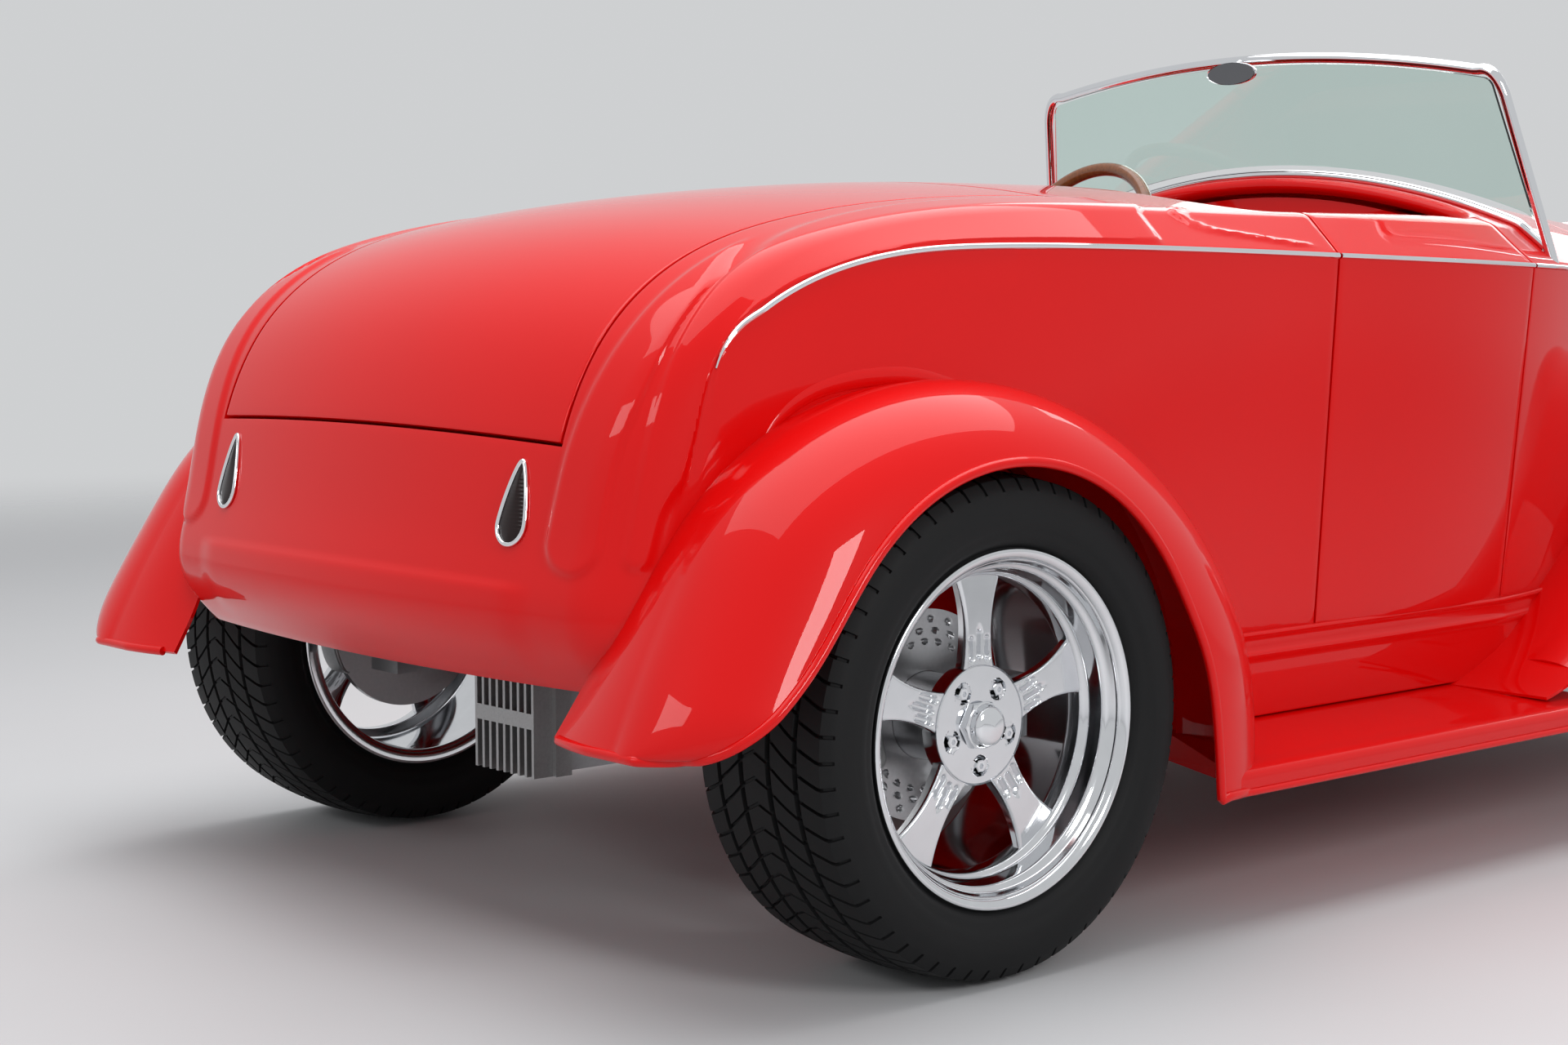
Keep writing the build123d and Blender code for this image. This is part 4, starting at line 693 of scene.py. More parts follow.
@dataclass(frozen=True)
class Tongue:
    """A raised band of the skin with a round lower end.

    Args:
        inner: Stations and shares of the edge towards the centre line.
        outer: Stations and shares of the other edge.
        low: Station of the round end.
        front: Shares and stations of the line where the band stops ahead.
        height: How far it stands out.
        soft: Width of its flanks.
    """

    inner: Rows
    outer: Rows
    low: float
    front: Rows = ((0.0, 5000.0), (1.0, 5000.0))
    height: float = 5.0
    soft: float = 10.0

    def rise(self, v: Array, share: Array) -> Array:
        """Heights: eased over the flanks from the distance within the edges and the round end.

        That distance is half the band's width less the distance from its middle line, or,
        below the round's centre, less the distance from that centre.
        """
        inner, outer = (np.interp(v, *smooth_line(rows, 200).T) for rows in (self.inner, self.outer))
        half = np.maximum(outer - inner, 0) / 2 * PER_SHARE
        ends = [np.interp(self.low, *zip(*rows)) for rows in (self.inner, self.outer)]
        centre = self.low + (ends[1] - ends[0]) / 2 * PER_SHARE
        within = half - np.hypot((share - (inner + outer) / 2) * PER_SHARE, np.minimum(v - centre, 0))
        ahead = np.interp(share, *zip(*self.front)) - v
        return self.height * ease(within / self.soft) * ease(ahead / self.soft)


TONGUES = [
    Tongue(
        inner=((-740, .350), (-567, .3505), (-390, .3505), (-288, .350), (0, .350)),
        outer=(
            (-732, .447), (-630, .445), (-568, .445), (-469, .452), (-356, .428), (-250, .381),
            (-120, .340)),
        low=-732),
    Tongue(
        inner=(
            (-715, .467), (-479, .469), (-356, .447), (-250, .398), (-45, .354), (126, .347), (403, .337),
            (604, .322)),
        outer=(
            (-715, .517), (-681, .5235), (-606, .538), (-531, .600), (-470, .655), (-400, .695), (-300, .728),
            (0, .737), (700, .737)),
        low=-715, front=((.30, 615), (.40, 572), (.543, 543), (.705, 536), (.74, 520)),
        height=4.5, soft=19.0),
]
DOOR_SWAGE: Rows = ((655, .40), (625, .531), (650, .600), (707, .644), (850, .693), (930, .705))
FENDER_SWAGE: Rows = ((-500, .790), (-408, .8035), (-302, .813), (-114, .8305), (133, .833), (190, .832))


@dataclass
class BodyPanels:
    """Tail with its quarters, boot lid, doors and cowl, parted along the shut lines of one skin."""

    shut: float = 6.0
    wall: float = 30.0
    edge: float = 1.6
    door_rear: float = 950.0
    door_front: float = 1500.0
    door_bevel: float = 0.28
    hinge_y: float = 660.0
    cockpit_rear: float = 790.0
    cockpit_front: float = 1560.0
    cockpit_half: float = 546.0
    cockpit_r: float = 120.0
    lid_front: float = 450.0
    lid_half: float = 450.0
    arch_r: float = 405.0
    arch_z: float = 352.0
    cowl_end: float = 1950.0
    roll_r: float = 15.0
    crown_columns: int = 32
    flank_columns: int = 16
    crease: float = -743.0
    strip_start: float = -413.0
    top_share: float = 0.45
    lid_turn: float = 153.0
    pan_turn: float = 153.48
    skin: Skin = field(default_factory=body_skin)

    def opening_half(self, v: Array) -> Array:
        """Half width of the cockpit at a station: a straight side with round corners."""
        near, far = self.cockpit_rear + self.cockpit_r, self.cockpit_front - self.cockpit_r
        d = np.clip(np.maximum(near - v, v - far), 0, self.cockpit_r)
        return self.cockpit_half - self.cockpit_r + np.sqrt(self.cockpit_r**2 - d**2)

    def door_line(self, share: Array) -> Array:
        """Station of a door's rear shut line, which slants with the half width."""
        v = np.full(np.shape(share), 975.0)
        for _ in range(2):
            v = self.door_rear + self.door_bevel * (self.hinge_y - np.abs(self.skin.at(v, share)[..., 1]))
        return v

    def door_start(self, share: float) -> float:
        """Station of a door's rear shut line at one share."""
        return float(self.door_line(np.array([share]))[0])

    def columns(self, inner: Array) -> Array:
        """Shares from an inner limit to the belt and from the belt to the foot, row by row."""
        s = np.linspace(0, 1, self.crown_columns)
        upper = inner[:, None] + (Skin.BELT - inner[:, None]) * s
        lower = np.linspace(Skin.BELT, 1, self.flank_columns)[1:]
        return np.concatenate([upper, np.broadcast_to(lower, (len(inner), len(lower)))], 1)

    def arched(self, p: Array) -> tuple[Array, Array]:
        """Points inside a wheel arch are moved out to its circle, and cells wholly inside go."""
        dx, dz = p[..., 0] - REAR_AXLE_X, p[..., 2] - self.arch_z
        r = np.hypot(dx, dz)
        inside = (r < self.arch_r) & (np.abs(p[..., 1]) > 530)
        k = np.where(inside, self.arch_r / np.maximum(r, 1), 1.0)
        p = p.copy()
        p[..., 0], p[..., 2] = REAR_AXLE_X + dx * k, self.arch_z + dz * k
        inner = inside[:-1, :-1] & inside[1:, :-1] & inside[1:, 1:] & inside[:-1, 1:]
        return p, ~inner

    def band(self, side: float) -> tuple[Array, Array]:
        """Stations and shares of a quarter, from the tail's foot to the door.

        Rows lie closer where the pressed lines bend, and columns closer over the shoulder.
        """
        high = turn_station(self.pan_turn)
        lid_end = self.lid_front + self.shut
        tail = joined((turn_station(182), 9), (-765, 16), (-690, 14), (high, 62), (lid_end, 0))
        deck = joined((lid_end, 4), (520, 17), (630, 8), (self.cockpit_rear, 0))[1:]
        inner_tail = self.skin.share_where(tail, 1, np.full(len(tail), self.lid_half + self.shut))
        corner = self.skin.share_where(
            np.array([self.cockpit_rear]), 1, np.array([self.cockpit_half - self.cockpit_r]))[0]
        inner_deck = np.linspace(inner_tail[-1], corner, len(deck) + 1)[1:]
        t = np.linspace(0, 1, 22)[1:] ** 1.6
        end_in = self.door_start(self.top_share) - self.shut
        v_in = self.cockpit_rear + t * (end_in - self.cockpit_rear)
        inner_side = self.skin.share_where(v_in, 1, self.opening_half(v_in))
        inner = np.concatenate([inner_tail, inner_deck, inner_side])[:, None]
        shoulder = inner + (0.56 - inner) * np.linspace(0, 1, 50)
        rest = joined((0.56, 15), (Skin.BELT, 9), (1.0, 0))[1:]
        shares = np.concatenate([shoulder, np.broadcast_to(rest, (len(inner), len(rest)))], 1)
        v = np.broadcast_to(np.concatenate([tail, deck, v_in])[:, None], shares.shape).copy()
        n = len(tail) + len(deck)
        v[n:] = self.cockpit_rear + t[:, None] * (self.door_line(shares[n:]) - self.shut - self.cockpit_rear)
        return v, shares * side

    def middle(self, v: Array, limit: Array) -> tuple[Array, Array]:
        """Stations and shares across the whole car between two inner limits, closer by them."""
        s = np.linspace(-1, 1, 47)
        shares = limit[:, None] * np.sign(s) * (1 - (1 - np.abs(s)) ** 1.4)
        return np.broadcast_to(v[:, None], shares.shape), shares

    def pressed(self, v: Array, share: Array) -> Array:
        """Points of the skin with its pressed lines."""
        return self.skin.at(v, share) + self.skin.normal(v, share) * self.relief(v, share)[..., None]

    def quarters(self) -> None:
        """The tail pan, both quarters and the deck behind the cockpit, pressed as one piece."""
        centre = (REAR_AXLE_X + 100, 0, 500)
        forge = Forge()
        for side in SIDES.values():
            v, share = self.band(side)
            p, keep = self.arched(self.pressed(v, share))
            forge.grid(p, centre, keep=keep)
        line, limit = v[:, 0], np.abs(share[:, 0])
        pan = line < turn_station(self.pan_turn) + 0.01
        deck = (line > self.lid_front) & (line < self.cockpit_rear + 0.01)
        for rows in (pan, deck):
            forge.grid(self.pressed(*self.middle(line[rows], limit[rows])), centre)
        forge.build("quarter_panels", RED, "chassis", ["rear_quarters"], self.wall, self.edge)
        for name, side in SIDES.items():
            v, share = smooth_line(FENDER_SWAGE, 90).T
            path = self.skin.at(v, share * side) - self.skin.normal(v, share * side) * 1.5
            size = 14 * np.sin(np.linspace(0.02, math.pi - 0.02, 90)) ** 0.75
            Forge().closed(tube(path, size, 16, up=(0, 1, 0), flat=0.42)).build(
                f"quarter_swage_{name}", RED, "chassis")

    def relief(self, v: Array, share: Array) -> Array:
        """Heights of the pressed lines: the tongues, the roll under the tail panel, the swage."""
        share = np.abs(share)
        total = sum(tongue.rise(v, share) for tongue in TONGUES)
        roll = ease((self.crease - v) / 14) * ease((v + 888) / 90) * (1 - ease((share - 0.30) / 0.05))
        away = nearest(np.stack([v, share * PER_SHARE], -1), smooth_line(DOOR_SWAGE, 160) * (1, PER_SHARE))
        return total + 5 * roll + 4.5 * ease(1 - away / 17) * ease((928 - v) / 70)

    def boot_lid(self) -> None:
        """The boot lid, from its lower shut line over the tail to its hinge."""
        v = np.linspace(turn_station(self.lid_turn), self.lid_front, 84)
        limit = self.skin.share_where(v, 1, np.full(len(v), self.lid_half))
        vv, share = self.middle(v, limit)
        forge = Forge().grid(self.skin.at(vv, share), (REAR_AXLE_X + 100, 0, 500))
        forge.build("boot_lid_panel", RED, "deck_lid", ["deck_lid"], self.wall, self.edge)

    def door(self, name: str) -> None:
        """A door from its slanting rear shut line to the cowl."""
        side = SIDES[name]
        t = np.linspace(0, 1, 40)
        start = self.door_start(self.top_share)
        v_in = start + t * (self.door_front - start)
        shares = self.columns(self.skin.share_where(v_in, 1, self.opening_half(v_in)))
        shares = np.minimum(shares, 0.9975)
        rear = self.door_line(shares)
        v = rear + t[:, None] * (self.door_front - rear)
        p = self.skin.at(v, shares * side)
        forge = Forge().grid(p, (REAR_AXLE_X + 1200, 0, 600))
        body = f"door_{name}"
        forge.build(f"door_panel_{name}", RED, body, [body], self.wall + 8, self.edge)
        self.roll(f"door_roll_{name}", v_in[1:-1], side, body)
        line = np.linspace(self.door_start(Skin.BELT), self.door_front, 40)
        self.strip(f"door_strip_{name}", line, side, body)

    def roll(self, name: str, v: Array, side: float, body: str) -> None:
        """A rounded roll along the cockpit's edge: a tube of the roll's radius sunk by that radius."""
        share = self.skin.share_where(v, 1, self.opening_half(v)) * side
        path = self.skin.at(v, share) - self.skin.normal(v, share) * self.roll_r
        Forge().closed(tube(path, self.roll_r, 16)).build(name, RED, body)

    def strip(self, name: str, v: Array, side: float, body: str, replaces: Sequence[str] = ()) -> None:
        """A half-round belt strip along the crease, tapered where it starts on the tail."""
        share = Skin.BELT - 0.034 * ease((-300 - v) / 111)
        path = self.skin.at(v, share * side) + self.skin.normal(v, (share - 0.005) * side) * 0.8
        taper = 0.35 + 0.65 * ease((v - self.strip_start) / 60)
        Forge().closed(tube(path, 4.6 * taper, 10)).build(name, CHROME, body, replaces)

    def cowl(self) -> None:
        """The cowl: both sides from the doors, joined ahead of the cockpit."""
        front = self.door_front + self.shut
        v1 = front + (1 - (1 - np.linspace(0, 1, 14)) ** 1.6) * (self.cockpit_front - front)
        v2 = np.linspace(self.cockpit_front, self.cowl_end, 36)[1:]
        limit = self.skin.share_where(v1, 1, self.opening_half(v1))
        shares = self.columns(np.concatenate([limit, np.full(len(v2), limit[-1])]))
        v = np.broadcast_to(np.concatenate([v1, v2])[:, None], shares.shape)
        forge = Forge()
        for side in SIDES.values():
            forge.grid(self.skin.at(v, shares * side), (REAR_AXLE_X + 1700, 0, 600))
        vv, share = self.middle(np.concatenate([v1[-1:], v2]), np.full(len(v2) + 1, limit[-1]))
        forge.grid(self.skin.at(vv, share), (REAR_AXLE_X + 1700, 0, 600))
        forge.build("cowl_panel", RED, "chassis", ["cowl"], self.wall, self.edge)
        for name, side in SIDES.items():
            self.roll(f"cowl_roll_{name}", v1, side, "chassis")

    def build(self) -> None:
        """Builds every body panel with its rolls and strips."""
        self.quarters()
        self.boot_lid()
        self.cowl()
        for name, side in SIDES.items():
            self.door(name)
            t = np.linspace(0, 1, 24)
            reach = self.door_start(self.top_share) - self.shut - self.cockpit_rear - 1
            v = self.cockpit_rear + 1 + t**1.6 * reach
            self.roll(f"quarter_roll_{name}", v, side, "chassis")
            ends = self.strip_start, self.door_start(Skin.BELT) - self.shut
            self.strip(f"quarter_strip_{name}", np.linspace(*ends, 150), side, "chassis", ["belt_strips"])
            line = np.linspace(self.door_front + self.shut, self.cowl_end - 1, 40)
            self.strip(f"cowl_strip_{name}", line, side, "chassis")
        half, tries = self.cockpit_half - self.cockpit_r, np.linspace(0, 0.7, 150)
        for name, v in (("rear", self.cockpit_rear), ("front", self.cockpit_front)):
            y, line = np.linspace(-half, half, 60), np.full(60, v)
            reach = np.abs(self.skin.at(np.full(150, v), tries)[:, 1])
            share = np.interp(np.abs(y), reach, tries) * np.sign(y)
            path = self.skin.at(line, share) - self.skin.normal(line, share) * self.roll_r
            Forge().closed(tube(path, self.roll_r, 16)).build(f"cockpit_roll_{name}", RED, "chassis")


@dataclass
class Hood:
    """Lifting hood top over fixed sides, cut back along the raked grille shell."""

    wall: float = 12.0
    shut: float = 6.0
    start: float = 1950.0
    split_rear: float = 990.0
    split_front: float = 956.0
    shell_x: float = 2690.0
    shell_top: float = 1074.0
    rake: float = 14.0
    louvres: int = 13
    louvre_start: float = 2060.0
    louvre_pitch: float = 34.0
    louvre_rise: float = 5.0
    louvre_shares: tuple[float, float] = (0.79, 0.93)
    skin: Skin = field(default_factory=hood_skin)

    def front(self, share: Array, gap: float) -> Array:
        """Station at which a share meets the raked shell, less a gap."""
        v = np.full(np.shape(share), self.shell_x)
        for _ in range(3):
            below = self.shell_top - self.skin.at(v, share)[..., 2]
            v = self.shell_x - gap + below * math.tan(math.radians(self.rake))
        return v

    def split(self, v: Array, drop: float) -> Array:
        """Share of the split line between the top and the sides, lowered by a drop."""
        height = self.split_rear - drop + (self.split_front - self.split_rear) * (v - 1900) / 1000
        return self.skin.share_where(v, 2, height)

    def build(self) -> None:
        """Builds the top, both sides with louvres, and the strips along the belt."""
        t = np.linspace(0, 1, 66)[:, None]
        v0 = self.start + self.shut + t[:, 0] * (self.shell_x - self.start)
        share = self.split(v0, 0.0)[:, None] * np.linspace(-1, 1, 49)
        v = self.start + self.shut + t * (self.front(share, self.shut) - self.start - self.shut)
        centre = (REAR_AXLE_X + 2300, 0, 600)
        Forge().grid(self.skin.at(v, share), centre).build(
            "hood_top_panel", RED, "hood_top", ["hood_top"], self.wall, 1.6)
        forge = Forge()
        for side in SIDES.values():
            top = self.split(v0, self.shut)
            upper = top[:, None] + (Skin.BELT - top[:, None]) * np.linspace(0, 1, 8)
            share = np.concatenate([upper, np.broadcast_to(np.linspace(Skin.BELT, 1, 36)[1:], (66, 35))], 1)
            v = self.start + 0.5 + t * (self.front(share, 0.5) - self.start - 0.5)
            p = self.skin.at(v, share * side)
            cells = (v - self.louvre_start) / self.louvre_pitch
            high, low = self.louvre_shares
            row = (cells > 0) & (cells < self.louvres) & (share > high) & (share < low)
            ends = ease(np.minimum((share - high), (low - share)) / 0.02)
            blade = np.where(row, ends * (cells % 1.0) ** 2 * self.louvre_rise, 0.0)
            forge.grid(p + self.skin.normal(v, share * side) * blade[..., None], centre)
        forge.build("hood_side_panels", RED, "chassis", ["hood_sides"], self.wall, 1.2)
        for name, side in SIDES.items():
            v = np.linspace(self.start + 1, float(self.front(np.array([Skin.BELT]), 1.0)[0]), 40)
            out = self.skin.normal(v, np.full(40, 0.745 * side))
            path = self.skin.at(v, np.full(40, Skin.BELT * side)) + out * 0.8
            Forge().closed(tube(path, 4.4, 10)).build(f"hood_strip_{name}", CHROME, "chassis")


@dataclass(frozen=True)
class FenderRow:
    """A section of a fender: its lip and crown lines from the axle, then half widths."""

    lip_x: float
    lip_z: float
    crown_x: float
    crown_z: float
    inner: float
    drop: float
    ridge: float
    outer: float


REAR_SWEEPS = [
    (2, 398, 618, 606, 10, 660, 862), (20, 372, 568, 606, 10, 660, 862),
    (42, 362, 512, 606, 10, 660, 862), (66, 363, 478, 606, 10, 660, 862), (90, 366, 468, 606, 10, 660, 862),
    (115, 370, 478, 606, 10, 660, 862), (138, 372, 494, 600, 13, 665, 862),
    (156, 384, 502, 560, 26, 675, 862),
    (169, 428, 528, 532, 39, 680, 860), (179, 510, 562, 520, 30, 685, 852),
]
REAR_END = FenderRow(418, 202, 626, 200, 606, 10, 660, 862)
ROOT = 386.3
FRONT_ROWS = [
    FenderRow(-1200, 203, -1225, 290, 570, 6, 680, 858), FenderRow(-1080, 205, -1130, 338, 556, 8, 682, 859),
    FenderRow(-940, 208, -1010, 400, 500, 14, 684, 860), FenderRow(-660, 218, -780, 520, 420, 40, 688, 862),
    FenderRow(-470, 250, -590, 606, ROOT, 60, 690, 864), FenderRow(-352, 352, -430, 678, ROOT, 80, 690, 866),
    FenderRow(-214, 574, -276, 724, ROOT, 100, 690, 868), FenderRow(0, 652, 0, 744, ROOT, 108, 690, 868),
    FenderRow(172, 606, 218, 694, ROOT, 106, 690, 866), FenderRow(300, 484, 392, 540, ROOT, 98, 688, 862),
    FenderRow(374, 344, 474, 352, ROOT, 82, 684, 856),
]


@dataclass
class Fenders:
    """Rear and front fenders with rolled lips, and the running boards between them."""

    wall: float = 8.0
    bead_r: float = 7.2
    tail_r: float = 88.0
    along: int = 116
    across: int = 22
    board_end: float = 1474.0
    ramp_start: float = 1352.0
    ramp_row: int = 24
    board_outer: float = 856.0
    sill_y: float = 604.0

    def rear_rows(self) -> list[FenderRow]:
        """The rear sweeps as rows about the axle."""
        rows = [REAR_END]
        for turn, lip_r, crown_r, *rest in REAR_SWEEPS:
            c, s = math.cos(math.radians(turn)), math.sin(math.radians(turn))
            lip, crown = (lip_r * c, REAR_TYRE_R + lip_r * s), (crown_r * c, REAR_TYRE_R + crown_r * s)
            rows.append(FenderRow(*lip, *crown, *rest))
        return rows

    def section(self, row: FenderRow, axle_x: float) -> Array:
        """A row's points: an arc from the lip over the brow to the ridge, then one to the root."""
        rise = np.array([row.crown_x - row.lip_x, row.crown_z - row.lip_z])
        high = float(np.hypot(*rise))
        up = rise / high
        slant = math.cos(math.radians(45))
        brow = (row.ridge + (row.outer - row.ridge) * slant, high * slant)
        out = arc_points((row.outer, 0.0), brow, (row.ridge, high), np.linspace(0, 1, self.across))
        reach = row.ridge - row.inner
        sweep_r = (reach**2 + row.drop**2) / (2 * row.drop)
        a = np.linspace(0, math.atan2(reach, sweep_r - row.drop), self.across)[1:]
        inner = np.stack([row.ridge - sweep_r * np.sin(a), high - sweep_r * (1 - np.cos(a))], 1)
        y, h = np.concatenate([out, inner]).T
        return np.stack([axle_x + row.lip_x + up[0] * h, y, row.lip_z + up[1] * h], 1)

    def surface(self, rows: Sequence[FenderRow], axle_x: float) -> Array:
        """The left fender's outer face, splined through its rows by their crowns' distances."""
        crown = np.array([(r.crown_x, r.crown_z) for r in rows])
        run = np.concatenate([[0], np.cumsum(np.hypot(*np.diff(crown, axis=0).T))])
        stack = np.stack([self.section(row, axle_x) for row in rows])
        track = Track(run)
        even = np.linspace(1, 0, self.along) ** 1.3
        places = np.repeat((1 - even) * run[-1], stack.shape[1])
        wide = np.tile(stack, (1, self.along, 1))
        return track.at(wide, places).reshape(self.along, stack.shape[1], 3)

    def round_tail(self, p: Array) -> Array:
        """Draws the outer corner of the free end in along a quarter circle seen from above.

        Within a radius of the end, measured along the crown, the width beyond the ridge loses
        the radius less the circle's height at that distance.
        """
        crown = p[:, self.across - 1]
        step = np.linalg.norm(np.diff(crown, axis=0), axis=1)
        left = np.concatenate([np.cumsum(step[::-1])[::-1], [0]])
        cut = self.tail_r - np.sqrt(self.tail_r**2 - np.clip(self.tail_r - left, 0, self.tail_r) ** 2)
        width = p[:, 0, 1] - crown[:, 1]
        kept = ((width - cut) / width)[:, None]
        beyond = p[..., 1] - crown[:, None, 1]
        out = p.copy()
        out[..., 1] = crown[:, None, 1] + np.where(beyond > 0, beyond * kept, beyond)
        return out

    def fender(self, end: str, name: str, p: Array, centre: Array) -> None:
        """A fender's panel and the bead along its lip and its free end."""
        side = np.array([1.0, SIDES[name], 1.0])
        low, high = (np.array(corner) / MM for corner in CAD_BOUNDS)
        p = np.clip(p * side, low, high)
        forge = Forge().grid(p, centre * side)
        forge.build(
            f"fender_panel_{end}_{name}", RED, "chassis", [f"fender_{end}_{name}"], self.wall, sharp=50)
        free = p[-1, 1:2 * self.across - 4]
        foot = p[0, 9:0:-1] + np.array([0, 0, self.bead_r - 2])
        line = resample(np.concatenate([foot, p[:, 0] + np.array([0, 0, 1.0]), free]), 230)
        line = np.clip(line, low + self.bead_r + 0.4, high - self.bead_r - 0.4)
        bead = tube(line, self.bead_r, 12)
        Forge().closed(bead).build(f"fender_bead_{end}_{name}", RED, "chassis")

    def board(self, name: str) -> None:
        """A running board: a crowned tread, a rolled outer edge and a stepped sill above it."""
        side = SIDES[name]
        inner, outer = self.sill_y - 38, self.board_outer
        profile = rounded([
            (inner, 250), (outer - 60, 240), (outer - 16, 240), (outer, 236), (outer, 206), (outer - 8, 200),
            (inner, 200), (inner, 250)], 13, 6)
        width = np.clip((profile[:, 0] - REAR_END.ridge) / (REAR_END.outer - REAR_END.ridge), 0, 1)
        start = REAR_END.lip_x + (REAR_END.crown_x - REAR_END.lip_x) * np.sqrt(1 - width**2) - 5
        x = REAR_AXLE_X + start + np.linspace(0, 1, 60)[:, None] * (self.board_end - start)
        p = np.zeros((60, len(profile), 3))
        p[..., 0], p[..., 1], p[..., 2] = x, side * profile[:, 0], profile[:, 1]
        Forge().closed(p).build(
            f"running_board_panel_{name}", RED, "chassis", [f"running_board_{name}"], sharp=40)
        x = REAR_AXLE_X + np.linspace(REAR_END.lip_x + 12, self.board_end + 20, 60)
        bead = np.stack([x, np.full(60, side * (outer - 1)), np.full(60, 205.0)], 1)
        Forge().closed(tube(bead, 5.6, 12)).build(f"board_bead_{name}", RED, "chassis")
        sill = rounded([
            (560, 392), (609, 392), (611, 386), (604.5, 379), (604.5, 362), (610, 356), (608, 348),
            (604.5, 342), (604.5, 251), (560, 251), (560, 392)], 4, 3)
        v = np.linspace(418, 1700, 60)
        foot = body_skin().at(v, 1.0)[:, 1]
        inset = np.where(v > 1400, np.maximum(self.sill_y - foot - 5.5, 0), 0)
        p = np.zeros((60, len(sill), 3))
        p[..., 0], p[..., 2] = REAR_AXLE_X + v[:, None], sill[:, 1]
        p[..., 1] = side * (sill[:, 0] - inset[:, None])
        Forge().closed(p).build(f"sill_panel_{name}", RED, "chassis", sharp=40)

    def ramp(self, name: str, front: Array) -> None:
        """The board's sweep up into the front fender: quadratic curves from the board's top to a
        row of the fender, by way of a point low behind it."""
        end = front[self.ramp_row, self.across - 8:]
        start = end * (0, 1, 0) + np.array([REAR_AXLE_X + self.ramp_start, 0, 249.0])
        middle = end * (0, 1, 0) + np.array([REAR_AXLE_X + 1452, 0, 266.0])
        t = np.linspace(0, 1, 30)[:, None, None]
        sheet = (1 - t) ** 2 * start + 2 * t * (1 - t) * middle + t**2 * end
        sheet[..., 1] = SIDES[name] * np.maximum(sheet[..., 1], 566)
        Forge().grid(sheet, (REAR_AXLE_X + 1450, SIDES[name] * 680, -2000)).build(
            f"board_ramp_{name}", RED, "chassis", wall=5.0, sharp=60)

    def build(self) -> None:
        """Builds all four fenders, their aprons and both boards."""
        rear = self.round_tail(self.surface(self.rear_rows(), REAR_AXLE_X))
        front = self.surface(FRONT_ROWS, REAR_AXLE_X + WHEELBASE)
        for name, side in SIDES.items():
            self.fender("rear", name, rear, np.array([REAR_AXLE_X, 700.0, REAR_TYRE_R]))
            self.fender("front", name, front, np.array([REAR_AXLE_X + WHEELBASE - 300, 640.0, 200.0]))
            root = front[:, -1]
            root = root[root[:, 1] < ROOT + 2]
            apron = np.stack([root, root * np.array([1, 1, 0]) + np.array([0, 0, 332.0])])
            apron[..., 1] = side * (ROOT + 1)
            Forge().grid(apron, (REAR_AXLE_X + WHEELBASE, side * 2000.0, 500)).build(
                f"fender_apron_{name}", RED, "chassis", wall=4.0)
            self.board(name)
            self.ramp(name, front)


